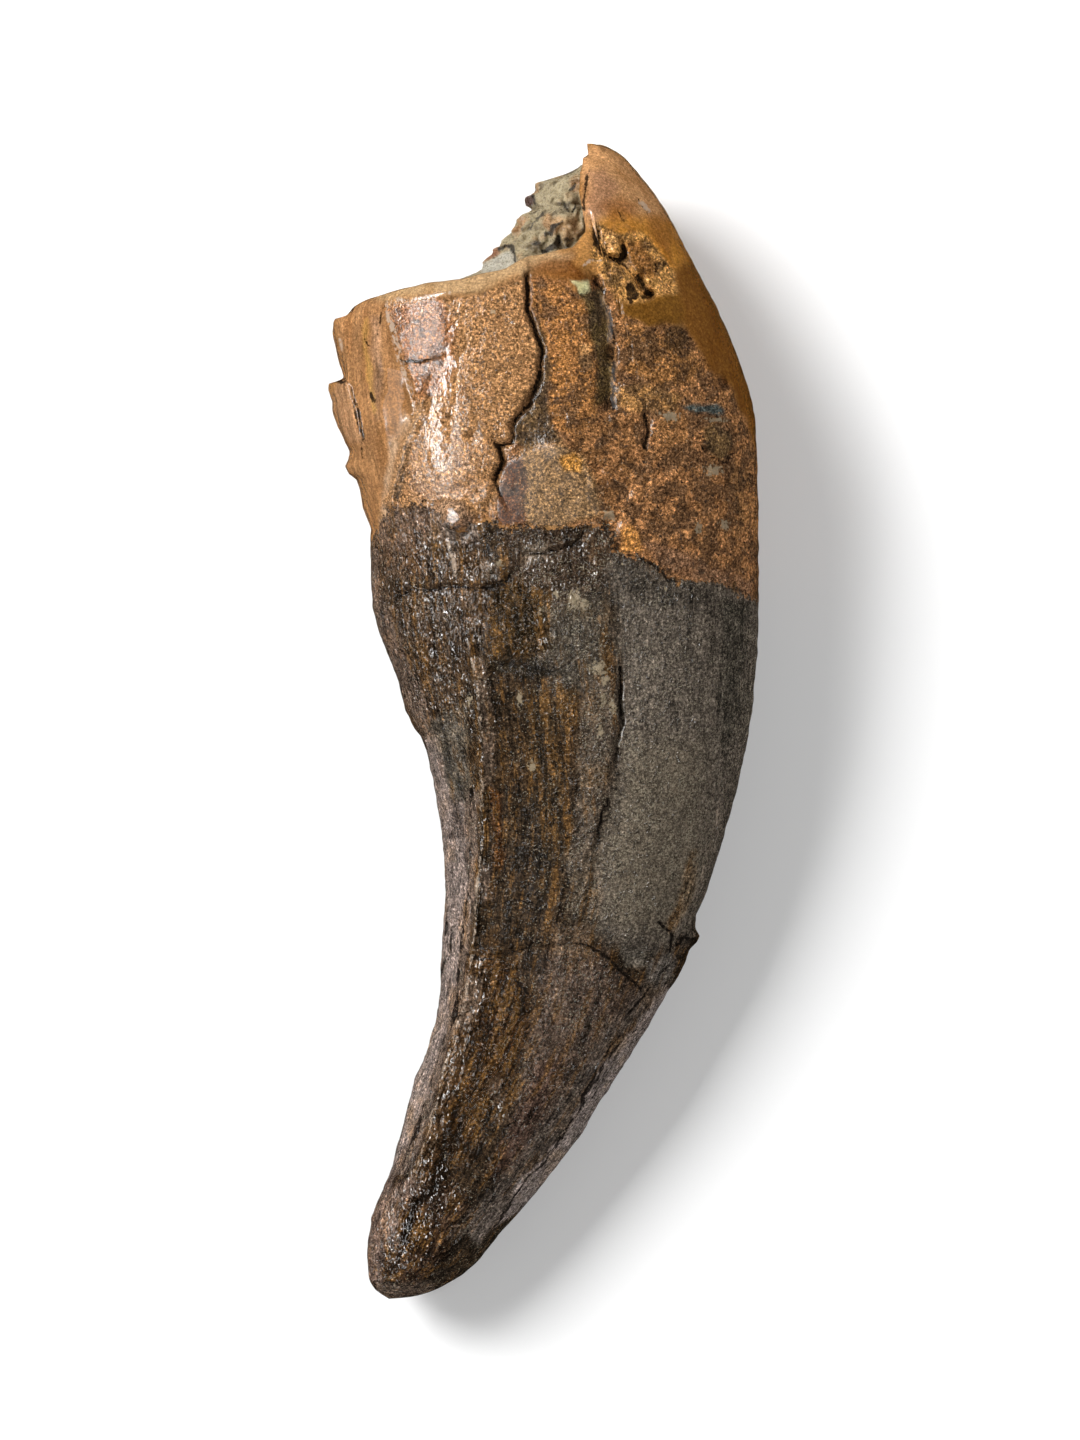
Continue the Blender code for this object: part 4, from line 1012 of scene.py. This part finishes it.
def spot_depth(points, spot_list):
    """How far inside the nearest oval spot: 1 at its middle, 0 on its edge, and at least minus FAR."""
    depth = np.full(len(points), -FAR)
    for column, row, wide, tall in spot_list:
        cx, cy = spots((column, row))[0]
        across = (points[:, 0] - cx) / (wide * PICTURE_STEP)
        along = (points[:, 1] - cy) / (tall * PICTURE_STEP)
        depth = np.maximum(depth, 1.0 - np.hypot(across, along))
    return depth


def store(thing, name, kind, values):
    """Keep one value for each point of a mesh, for its material to read."""
    layer = thing.data.attributes.new(name, kind, "POINT")
    field = {"FLOAT_COLOR": "color", "FLOAT_VECTOR": "vector", "FLOAT": "value"}[kind]
    if kind == "FLOAT_COLOR":
        values = np.column_stack([values, np.ones(len(values))])
    layer.data.foreach_set(field, np.ascontiguousarray(values, dtype=np.float32).ravel())


bone_tone, crown_tone, makeup, bare_share = paint_tooth(tooth_points, tooth_straight, tooth_facing)
border = -distance_to_route(tooth_points[:, 0], tooth_points[:, 1], CROWN_EDGE)
beneath = FAR * (tooth_facing < 0.0)          # puts the underside out of every line's reach
for name, kind, values in (
        ("bone_tone", "FLOAT_COLOR", bone_tone), ("crown_tone", "FLOAT_COLOR", crown_tone),
        ("makeup", "FLOAT_COLOR", makeup), ("straight", "FLOAT_VECTOR", tooth_straight),
        ("bare", "FLOAT", bare_share), ("past_border", "FLOAT", np.clip(border, -4.0, 4.0)),
        ("dark_line", "FLOAT", line_distance(tooth_points, DARK_LINES, 41) + beneath),
        ("chip_and_glint_line", "FLOAT", line_distance(tooth_points, CHIP_AND_GLINT_LINES, 42) + beneath),
        ("pale_spot", "FLOAT", spot_depth(tooth_points, PALE_SPOTS) - beneath),
        ("chain", "FLOAT", line_distance(tooth_points, BEAD_LINES, 43) + beneath)):
    store(tooth, name, kind, values)
print("mean colour of the bone:", bone_tone.mean(axis=0).round(3))
print("mean colour of the crown:", crown_tone.mean(axis=0).round(3))


# %% [markdown]
# ## A material is a small machine
# Nodes pass values along links. These helpers add a node, set its sockets and connect it
# in one line, so the recipe for a finish, or for the sky, reads from top to bottom.

# %% Helpers for nodes
class Finish:
    """Short ways to add nodes to a material or a sky, and to feed the shader it starts with."""

    def __init__(self, owner, shader="Principled BSDF"):
        owner.use_nodes = True
        self.owner = owner
        self.tree = owner.node_tree
        self.shader = self.tree.nodes[shader]

    def feed(self, socket, value):
        """Connect a socket to another, or set its value."""
        if isinstance(value, bpy.types.NodeSocket):
            self.tree.links.new(value, socket)
        else:
            socket.default_value = value

    def give(self, **values):
        """Feed the shader's sockets, with an underscore for each space in a socket's name."""
        for name, value in values.items():
            self.feed(self.shader.inputs[name.replace("_", " ")], value)

    def stored(self, name, kind="Fac"):
        """Read what was stored on the points."""
        node = self.tree.nodes.new("ShaderNodeAttribute")
        node.attribute_name = name
        return node.outputs[kind]

    def three(self, colour):
        """Split a colour into its three numbers."""
        node = self.tree.nodes.new("ShaderNodeSeparateColor")
        self.feed(node.inputs[0], colour)
        return node.outputs[0], node.outputs[1], node.outputs[2]

    def place(self):
        """Object coordinates in mm."""
        coordinates = self.tree.nodes.new("ShaderNodeTexCoord")
        return self.scaled(coordinates.outputs["Object"], (1000.0, 1000.0, 1000.0))

    def scaled(self, vector, scale):
        """Multiply a vector's three parts, or a colour's, by three numbers or one socket."""
        node = self.tree.nodes.new("ShaderNodeVectorMath")
        node.operation = "SCALE" if isinstance(scale, bpy.types.NodeSocket) else "MULTIPLY"
        self.feed(node.inputs[0], vector)
        self.feed(node.inputs["Scale" if node.operation == "SCALE" else 1], scale)
        return node.outputs[0]

    def moved(self, vector, shift):
        """Add a shift to a vector, so that the same noise gives another pattern."""
        node = self.tree.nodes.new("ShaderNodeVectorMath")
        self.feed(node.inputs[0], vector)
        self.feed(node.inputs[1], shift)
        return node.outputs[0]

    def noise(self, vector, grains, detail=3.0, roughness=0.6):
        """Noise from 0 to 1 with so many grains in a millimetre."""
        node = self.tree.nodes.new("ShaderNodeTexNoise")
        self.feed(node.inputs["Vector"], vector)
        node.inputs["Scale"].default_value = grains
        node.inputs["Detail"].default_value = detail
        node.inputs["Roughness"].default_value = roughness
        return node.outputs["Fac"]

    def grains(self, vector, count):
        """Cut space into grains, so many in a millimetre, and give each a chance value."""
        node = self.tree.nodes.new("ShaderNodeTexVoronoi")
        self.feed(node.inputs["Vector"], vector)
        node.inputs["Scale"].default_value = count
        return self.three(node.outputs["Color"])[0]

    def ramp(self, value, low, high, to_low=0.0, to_high=1.0):
        """Turn a stretch of values into another, smoothly and clamped at both ends."""
        node = self.tree.nodes.new("ShaderNodeMapRange")
        node.interpolation_type = "SMOOTHSTEP"
        self.feed(node.inputs["Value"], value)
        ends = {"From Min": low, "From Max": high, "To Min": to_low, "To Max": to_high}
        for name, number in ends.items():
            self.feed(node.inputs[name], number)
        return node.outputs["Result"]

    def math(self, operation, first, second=0.0, third=0.0):
        """One sum on numbers."""
        node = self.tree.nodes.new("ShaderNodeMath")
        node.operation = operation
        for socket, value in zip(node.inputs, (first, second, third)):
            self.feed(socket, value)
        return node.outputs[0]

    def times(self, first, second):
        """The product of two numbers."""
        return self.math("MULTIPLY", first, second)

    def plus(self, first, second):
        """The sum of two numbers."""
        return self.math("ADD", first, second)

    def less(self, value):
        """What is left of 1 without the value."""
        return self.math("SUBTRACT", 1.0, value)

    def linear(self, value, scale, offset):
        """A straight line: the value times a scale, plus an offset."""
        return self.math("MULTIPLY_ADD", value, scale, offset)

    def bright(self, colour, power):
        """Double a colour's brightness as many times as the power says."""
        return self.scaled(colour, self.math("POWER", 2.0, power))

    def stops(self, value, strength):
        """Doublings of brightness: a noise's distance from its middle times a strength."""
        return self.times(self.math("SUBTRACT", value, 0.5), strength)

    def mix(self, cover, under, over):
        """Lay one colour over another."""
        node = self.tree.nodes.new("ShaderNodeMix")
        node.data_type = "RGBA"
        self.feed(node.inputs[0], cover)
        self.feed(node.inputs[6], under)
        self.feed(node.inputs[7], over)
        return node.outputs[2]

    def bump(self, height, distance):
        """Tilt the surface as if it rose by height times a distance in mm."""
        node = self.tree.nodes.new("ShaderNodeBump")
        node.inputs["Distance"].default_value = distance * MM
        self.feed(node.inputs["Height"], height)
        return node.outputs["Normal"]


def paint_pot(red, green, blue):
    """A pigment as a colour socket's value."""
    return (*pigment(red, green, blue), 1.0)


RUST = paint_pot(164, 114, 74)
CHAR = paint_pot(72, 58, 46)
PORE = paint_pot(62, 50, 40)
SPECK = paint_pot(84, 70, 60)
CRYSTAL = paint_pot(214, 174, 134)
AMBER = paint_pot(116, 82, 42)
DUST = paint_pot(180, 168, 144)
# Colour of the cracks, and of the painted shade in pits and under steps.
CRACK_AND_SHADE = paint_pot(26, 20, 16)
# Colour of pale edges, and of the painted glints.
CHIP_AND_GLINT = paint_pot(214, 190, 166)
STUCK_ON = paint_pot(186, 168, 138)
ROCK_FLECK = paint_pot(216, 206, 184)
# Colour of the painted shade in the rock's crevices.
ROCK_CREVICE_SHADE = paint_pot(40, 32, 24)

# %% [markdown]
# ## The tooth's finish
# Bare bone is a crust of grains: rusty and charred patches with ragged edges, dark pores
# and pale crystals. The crown has dark and amber streaks along it, and dust in its
# wrinkles. Noise with many layers is cut off sharply to draw the patches, and grains of
# chance brightness multiply the colour. All of it was soaked in a clear glue, which
# glitters where the surface is uneven.

# %% Colour of bare bone and filler
def bone_colour(made, place, lengthwise, bare, warm, dark):
    """Zone colour, then patches where a noise passes a limit, then streaks, grains and pores."""
    char = made.noise(made.moved(place, (40.0, 0.0, 0.0)), 0.42, 5.0, 0.62)
    rust = made.noise(made.moved(place, (0.0, 40.0, 0.0)), 0.6, 5.0, 0.62)
    fine = made.noise(place, 2.8, 3.0, 0.9)
    pore = made.noise(place, 1.6, 3.0, 0.6)
    streak = made.noise(lengthwise, 1.4, 4.0, 0.65)
    chance = made.grains(place, 3.0)
    rugged = made.times(bare, made.linear(dark, 0.7, 0.5))

    colour = made.stored("bone_tone", "Color")
    rusty = made.ramp(made.linear(warm, 0.12, rust), 0.56, 0.64, 0.0, 0.35)
    colour = made.mix(made.times(rusty, made.ramp(warm, 0.0, 0.4)), colour, RUST)
    charred = made.ramp(made.linear(dark, 0.13, char), 0.56, 0.63, 0.0, 0.65)
    charred = made.times(charred, bare)
    colour = made.mix(made.times(charred, made.ramp(dark, 0.0, 0.4)), colour, CHAR)
    power = made.stops(fine, made.linear(bare, 6.6, 5.2))
    power = made.plus(power, made.stops(chance, rugged))
    pinhole = made.noise(made.moved(place, (20.0, 0.0, 0.0)), 2.2, 3.0, 0.8)
    power = made.plus(power, made.times(made.ramp(pinhole, 0.54, 0.64, 0.0, -1.5), bare))
    power = made.plus(power, made.stops(pore, made.linear(rugged, 2.0, 0.8)))
    filled = made.less(bare)
    power = made.plus(power, made.stops(streak, made.times(filled, made.times(dark, 6.0))))
    colour = made.bright(colour, power)
    hole = made.times(made.ramp(pore, 0.61, 0.67), made.times(rugged, 0.9))
    colour = made.mix(hole, colour, PORE)
    speck = made.noise(made.moved(place, (0.0, 0.0, 40.0)), 1.9, 1.0, 0.5)
    speck = made.times(made.ramp(speck, 0.66, 0.72, 0.0, 0.7), bare)
    colour = made.mix(speck, colour, SPECK)
    crystal = made.ramp(made.noise(place, 2.6, 1.0, 0.5), 0.69, 0.74)
    return made.mix(made.times(crystal, made.times(bare, 0.6)), colour, CRYSTAL)


# %% Colour of the crown
def crown_colour(made, place, lengthwise, warm, dust):
    """Zone colour with dark and amber streaks cut from stretched noise, and grains of dust."""
    vein = made.noise(lengthwise, 0.9, 6.0, 0.7)
    fibre = made.noise(made.moved(lengthwise, (9.0, 0.0, 0.0)), 3.6, 3.0, 0.7)
    fine = made.noise(place, 2.8, 3.0, 0.9)
    blot = made.noise(place, 0.8, 4.0, 0.65)
    chance = made.grains(place, 4.0)
    clean = made.less(dust)

    colour = made.stored("crown_tone", "Color")
    amber = made.ramp(made.linear(warm, 0.08, vein), 0.56, 0.64, 0.0, 0.6)
    colour = made.mix(made.times(amber, made.ramp(warm, 0.0, 0.5)), colour, AMBER)
    power = made.stops(fine, made.linear(clean, 6.0, 6.5))
    power = made.plus(power, made.stops(fibre, made.linear(clean, 4.5, 0.5)))
    power = made.plus(power, made.stops(blot, made.linear(clean, 3.5, 1.0)))
    power = made.plus(power, made.stops(chance, 1.2))
    power = made.plus(power, made.times(clean, made.ramp(vein, 0.36, 0.48, -1.8, 0.0)))
    colour = made.bright(colour, power)
    drift = made.noise(place, 0.35, 2.0, 0.5)
    powder = made.plus(made.noise(place, 4.2, 1.0, 0.6), made.stops(drift, 0.25))
    pale = made.ramp(made.linear(dust, 0.14, powder), 0.7, 0.75, 0.0, 0.85)
    return made.mix(pale, colour, DUST)


# %% Lines and spots on the tooth
def with_lines(made, place, colour):
    """Draw dark cracks and painted shade, pale edges and painted glints, and spots of sediment where the
    stored distance is small.
    """
    crumble = made.stops(made.noise(place, 2.4, 3.0, 0.7), 0.6)
    crack_and_shade = made.ramp(made.plus(made.stored("dark_line"), crumble), 0.0, 0.16, 0.92, 0.0)
    colour = made.mix(crack_and_shade, colour, CRACK_AND_SHADE)
    chip_and_glint = made.ramp(made.plus(made.stored("chip_and_glint_line"), crumble), 0.0, 0.16, 1.0, 0.0)
    broken = made.ramp(made.noise(place, 1.1, 3.0, 0.7), 0.44, 0.54, 0.0, 0.8)
    colour = made.mix(made.times(chip_and_glint, broken), colour, CHIP_AND_GLINT)
    inside = made.plus(made.stored("pale_spot"), made.stops(made.noise(place, 2.0, 4.0, 0.7), 4.0))
    return made.mix(made.ramp(inside, 0.1, 0.35, 0.0, 0.8), colour, STUCK_ON)


# %% Varnish
def wet_gloss(made, place, gloss, crown):
    """The zones' gloss, made patchy on the crown and full along the rows of beads."""
    chain = made.ramp(made.stored("chain"), 0.0, 0.5, 1.0, 0.0)
    patch = made.stops(made.noise(made.moved(place, (7.0, 7.0, 0.0)), 1.1, 3.0, 0.7), 1.8)
    gloss = made.plus(gloss, made.times(patch, crown))
    return made.math("MAXIMUM", gloss, made.times(chain, crown))


def skin_height(made, place, lengthwise, bare, crown, dark, gloss):
    """Height of the varnished skin: sparkle and grain on bone, ripples and furrows on the crown."""
    ripples = made.noise(made.scaled(place, (1.0, 0.6, 1.0)), 1.7, 1.0, 0.4)
    sparkle = made.noise(place, 3.2, 1.0, 0.5)
    grain = made.noise(place, 1.3, 4.0, 0.7)
    furrows = made.noise(lengthwise, 1.2, 2.0, 0.5)
    calm = made.times(bare, made.ramp(gloss, 0.45, 0.9, 1.0, 0.3))
    pool = made.ramp(gloss, 0.7, 0.95, 0.0, 0.1)
    wet = made.math("MAXIMUM", made.times(crown, made.ramp(gloss, 0.2, 0.7)), pool)
    height = made.times(sparkle, made.linear(calm, 0.8, 0.1))
    height = made.plus(height, made.times(ripples, made.times(wet, 6.5)))
    height = made.plus(height, made.times(grain, made.linear(calm, 1.0, 0.08)))
    lined = made.times(made.times(crown, made.less(dark)), 0.45)
    return made.plus(height, made.times(furrows, lined))


# %% Material of the tooth
TOOTH_BUMP = 0.09            # mm


def tooth_finish():
    """Bone on one side of the border and crown on the other, then lines and spots, then varnish."""
    made = Finish(bpy.data.materials.new("varnished_tooth"))
    warm, dark, gloss = made.three(made.stored("makeup", "Color"))
    bare = made.stored("bare")
    place = made.place()
    lengthwise = made.scaled(made.stored("straight", "Vector"), (1.0, 0.07, 1.0))

    fray = made.stops(made.noise(place, 1.2, 5.0, 0.7), 5.0)
    crown = made.ramp(made.plus(made.stored("past_border"), fray), -0.06, 0.06)
    bone = bone_colour(made, place, lengthwise, bare, warm, dark)
    colour = made.mix(crown, bone, crown_colour(made, place, lengthwise, warm, dark))
    made.give(Base_Color=with_lines(made, place, colour), Specular_IOR_Level=0.35)

    dry = made.ramp(gloss, 0.0, 0.1, 0.35, 0.0)
    gloss = wet_gloss(made, place, gloss, crown)
    rough = made.plus(made.ramp(gloss, 0.0, 0.7, 0.26, 0.05), dry)
    made.give(Roughness=made.plus(rough, made.stops(made.noise(place, 2.2, 2.0, 0.5), 0.1)))
    height = skin_height(made, place, lengthwise, bare, crown, dark, gloss)
    made.give(Normal=made.bump(height, TOOTH_BUMP))
    return made.owner


tooth.data.materials.append(tooth_finish())
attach(tooth, "root")
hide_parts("tooth")

# %% [markdown]
# ## Rock in the root
# Mud filled the dead tooth's pulp cavity and set. The plug is a cast of the cavity below the rim, so it
# reuses the cavity's own slices, a little smaller. Above the rim it is a broken lump, made by pushing the
# cast inwards and its top up and down with noise. Its crevices are drawn as dark lines of painted shade, as
# the tooth's cracks are.

# %% The plug's surface
# The broken lump's left outline, upward: y and x in mm
ROCK_EDGE = np.array([
    (55.0, -7.4), (57.9, -7.2), (59.6, -7.5), (61.4, -6.6), (61.9, -5.4), (63.3, -4.5), (65.4, -3.4),
    (66.4, -1.4), (66.9, -2.2), (68.1, -2.2), (68.6, -1.2), (69.8, -1.3), (70.3, 0.2), (71.1, 2.6),
    (72.1, 4.6),
])
PLUG_FOOT_Y = 33.5
PLUG_TOP_Y = 72.1
PLUG_CAP = 4.6               # mm of its length over which the top narrows
FIT_GAP = 0.3                # mm between the rock and the cavity's wall
ROCK_ROWS = 210
ROCK_UPPER_COLUMNS = 100
ROCK_LOWER_COLUMNS = 40


def plug_grid(rows, upper_count, lower_count):
    """Slices of the cavity, narrowed to a blunt cap at the top and lumpy where it is open."""
    angle = column_angles(upper_count, lower_count)[None, :]
    t = np.arange(1, rows)[:, None] / rows
    level = PLUG_FOOT_Y + (PLUG_TOP_Y - PLUG_FOOT_Y) * (1.0 - (1.0 - t) ** 1.5)
    ring = cavity_surface(angle + 0.0 * t, level + 0.0 * angle, FIT_GAP)
    up_cap = np.clip((level - PLUG_TOP_Y + PLUG_CAP) / PLUG_CAP, 0.0, 1.0)
    up_foot = np.clip((PLUG_FOOT_Y + 2.0 - level) / 2.0, 0.0, 1.0)
    narrow = (1.0 - 0.7 * up_cap ** 4.0) * np.sqrt(np.maximum(1.0 - up_foot ** 2, 0.0))
    centre = ring.mean(axis=1, keepdims=True)
    outcrop = smooth_step(level, 57.0, 60.0)
    rear = ring[..., 0].min(axis=1, keepdims=True)
    front = ring[..., 0].max(axis=1, keepdims=True)
    edge = rear + (np.interp(level, ROCK_EDGE[:, 0], ROCK_EDGE[:, 1]) - rear) * outcrop
    ring[..., 0] = front - (front - ring[..., 0]) * (front - edge) / (front - rear)
    broad = layered_noise(ring, 5.0, 51, 2)
    lumps = 0.0
    for strength, size, seed in ((1.0, 2.6, 52), (0.7, 1.3, 53), (0.4, 0.7, 54)):
        lumps = lumps + strength * np.abs(noise(ring, size, seed))
    rock = centre + (ring - centre) * (narrow * (1.0 + outcrop * (0.10 * lumps - 0.08)))[..., None]
    top = smooth_step(np.sin(angle), -0.1, 0.4) * outcrop
    rock[..., 2] += top * (1.05 * lumps + 0.8 * broad - 1.9)
    return rock


rock_grid = plug_grid(ROCK_ROWS, ROCK_UPPER_COLUMNS, ROCK_LOWER_COLUMNS)
rock_foot = rock_grid[0].mean(axis=0) - (0.0, 0.3, 0.0)
rock_head = rock_grid[-1].mean(axis=0) + (0.0, 0.1, 0.0)
rock, rock_points = closed_body("root_sediment", rock_grid, rock_foot, rock_head)

# %% Colour of the rock
# Colour, softness of the edge in mm, cover and outline
ROCK_PATCHES = [
    ((214, 206, 186), 0.2, 1.0, spots((480, 266), (492, 262), (504, 256), (511, 255), (516, 264),
                                      (517, 282), (482, 284))),
    ((176, 118, 82), 0.2, 0.9, spots((484, 262), (490, 251), (500, 250), (500, 257), (490, 262))),
    ((214, 174, 124), 0.6, 0.8, spots((556, 224), (578, 220), (584, 240), (562, 248))),
    ((90, 58, 44), 0.2, 1.0, spots((524, 198), (533, 197), (535, 204), (532, 210), (525, 208))),
]
# Dark lines of painted shade in the rock's crevices. The two that meet at (514, 252) are painted shadow
# along the edge of the pale crystalline corner.
SHADED_ROCK_CREVICES = [
    line(0.22, (544, 257), (551, 253), (559, 243)), line(0.2, (546, 239), (551, 238), (554, 230)),
    line(0.1, (556, 232), (560, 226)), line(0.1, (569, 214), (574, 208)),
    line(0.14, (500, 254), (508, 249), (514, 252)), line(0.14, (514, 252), (516, 262), (518, 269)),
    line(0.08, (536, 222), (542, 217)), line(0.14, (570, 194), (574, 189)),
    line(0.04, (562, 206), (566, 214)), line(0.08, (533, 199), (535, 208)),
    line(0.05, (529, 230), (536, 224)), line(0.08, (566, 246), (572, 241)),
    line(0.08, (534, 250), (540, 248)),
]


def paint_rock(points):
    """Grey green mud with tan and rusty lumps, a pale crystalline corner and a brown pebble."""
    broad = layered_noise(points, 4.0, 61, 3)
    fine = layered_noise(points, 1.3, 62, 3)
    colour = pigment(198, 180, 142) * np.ones((len(points), 1))
    colour = blend(colour, pigment(210, 156, 100), smooth_step(broad, 0.0, 0.6) * 0.8)
    colour = blend(colour, pigment(104, 88, 62), smooth_step(-fine, 0.3, 0.9) * 0.8)
    x, y = points[:, 0], points[:, 1]
    for tone, softness, cover, outline in ROCK_PATCHES:
        colour = blend(colour, pigment(*tone), inside_outline(x, y, outline, softness) * cover)
    return np.clip(colour, 0.0, 1.0)


store(rock, "tone", "FLOAT_COLOR", paint_rock(rock_points))
store(rock, "dark_line", "FLOAT", line_distance(rock_points, SHADED_ROCK_CREVICES, 63))


# %% Material of the rock
ROCK_BUMP = 0.3              # mm


def rock_finish():
    """Painted mud with grit that lightens and darkens it, pale flecks, and painted shade in its crevices.
    """
    made = Finish(bpy.data.materials.new("sediment"))
    tone = made.stored("tone", "Color")
    place = made.place()
    grit = made.noise(place, 3.2, 3.0, 0.85)
    flecks = made.noise(place, 3.2, 2.0, 0.5)
    colour = made.bright(tone, made.stops(grit, 4.5))
    colour = made.mix(made.ramp(flecks, 0.62, 0.7, 0.0, 0.7), colour, ROCK_FLECK)
    edge = made.plus(made.stored("dark_line"), made.stops(made.noise(place, 2.4, 3.0, 0.7), 0.6))
    colour = made.mix(made.ramp(edge, 0.0, 0.2, 0.92, 0.0), colour, ROCK_CREVICE_SHADE)
    made.give(Base_Color=colour, Roughness=made.ramp(flecks, 0.3, 0.7, 0.2, 0.5))
    made.give(Normal=made.bump(grit, ROCK_BUMP))
    return made.owner


rock.data.materials.append(rock_finish())
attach(rock, "root")
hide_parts("matrix_plug")

# %% [markdown]
# ## A white table and soft lamps
# The picture has no background to speak of: a white surface, and one soft shadow to the
# lower right. So a soft lamp stands at the upper left, and a weak one on the right lights
# the shaded side. The varnish mirrored a dark studio, so table, sky and both these lamps
# are hidden from reflections. A long strip on the left, which lights nothing by itself but
# shows in reflections, draws the glints.

# %% Floor and light
FLOOR_SIZE = 4.0             # m
FLOOR_WHITE = (0.9, 0.9, 0.9, 1.0)
FLOOR_GLOW = 0.08
WHITE = (1.0, 1.0, 1.0, 1.0)
LAMP_DISTANCE = 1.2          # m
SKY_LEFT = 0.5
SKY_RIGHT = 0.6
SKY_OVERHEAD = 0.3           # share of the sky's light that is left overhead

# Each lamp: power in W, width and length in m, degrees above the table and round from the left
MAIN_LAMP = (21.0, 0.6, 0.6, 43.0, 33.0)
FILL_LAMP = (3.8, 0.5, 0.5, 62.0, 160.0)
GLOSS_STRIP = (32.0, 0.09, 1.5, 38.0, 8.0)


def make_floor():
    """One square sheet at the height where the tooth rests."""
    half = FLOOR_SIZE / 2.0
    corners = [(-half, -half, 0.0), (half, -half, 0.0), (half, half, 0.0), (-half, half, 0.0)]
    mesh = bpy.data.meshes.new("table")
    mesh.from_pydata(corners, [], [(0, 1, 2, 3)])
    table = bpy.data.objects.new("table", mesh)
    bpy.context.scene.collection.objects.link(table)
    made = Finish(bpy.data.materials.new("white_table"))
    made.give(Base_Color=FLOOR_WHITE, Roughness=0.9, Specular_IOR_Level=0.0)
    made.give(Emission_Color=WHITE, Emission_Strength=FLOOR_GLOW)
    mesh.materials.append(made.owner)
    table.visible_glossy = False


def add_lamp(name, power, width, length, height_angle, side_angle):
    """A soft lamp that faces the tooth: its two angles' sines and cosines give its direction."""
    light = bpy.data.lights.new(name, "AREA")
    light.shape = "RECTANGLE"
    light.size, light.size_y = width, length
    light.energy = power
    lamp = bpy.data.objects.new(name, light)
    bpy.context.scene.collection.objects.link(lamp)
    height, side = math.radians(height_angle), math.radians(side_angle)
    out = Vector((-math.cos(side) * math.cos(height), math.sin(side) * math.cos(height), math.sin(height)))
    lamp.location = out * LAMP_DISTANCE
    lamp.rotation_euler = out.to_track_quat("Z", "X").to_euler()
    return lamp


def make_sky():
    """A sky a little brighter on the right than on the left, and dark overhead."""
    made = Finish(bpy.data.worlds.new("sky"), "Background")
    coordinates = made.tree.nodes.new("ShaderNodeTexCoord")
    split = made.tree.nodes.new("ShaderNodeSeparateXYZ")
    made.feed(split.inputs[0], coordinates.outputs["Generated"])
    side = made.ramp(split.outputs[0], -0.8, 0.8, SKY_LEFT, SKY_RIGHT)
    overhead = made.ramp(split.outputs[2], 0.3, 0.7, 1.0, SKY_OVERHEAD)
    made.give(Color=WHITE, Strength=made.times(side, overhead))
    bpy.context.scene.world = made.owner
    made.owner.cycles_visibility.glossy = False


make_floor()
add_lamp("soft_lamp", *MAIN_LAMP).visible_glossy = False
add_lamp("fill_lamp", *FILL_LAMP).visible_glossy = False
add_lamp("strip_for_gloss", *GLOSS_STRIP).visible_diffuse = False
make_sky()
bpy.context.scene.view_settings.view_transform = "Standard"

# %% [markdown]
# ## The camera
# The picture was taken from straight above with a long lens, so the tooth shows almost no
# perspective. The distance follows from the lens: the long side of the frame covers 1440
# pixels of 0.13 mm at the height of the tooth's outline.

# %% Camera
LENS = 300.0                 # mm, as is the sensor's width
SENSOR = 36.0
OUTLINE_HEIGHT = 13.0        # mm above the table, where the outline mostly lies
FRAME_WIDTH, FRAME_HEIGHT = 1080, 1440

camera_data = bpy.data.cameras.new("camera")
camera_data.lens = LENS
camera_data.sensor_width = SENSOR
camera_data.clip_end = 20.0
camera = bpy.data.objects.new("camera", camera_data)
bpy.context.scene.collection.objects.link(camera)
distance = FRAME_HEIGHT * PICTURE_STEP * LENS / SENSOR
centre = spots((FRAME_WIDTH / 2.0, FRAME_HEIGHT / 2.0))[0]
camera.location = (centre[0] * MM, centre[1] * MM, (OUTLINE_HEIGHT + distance) * MM)
bpy.context.scene.camera = camera
print("camera %.2f m above the table" % camera.location.z)
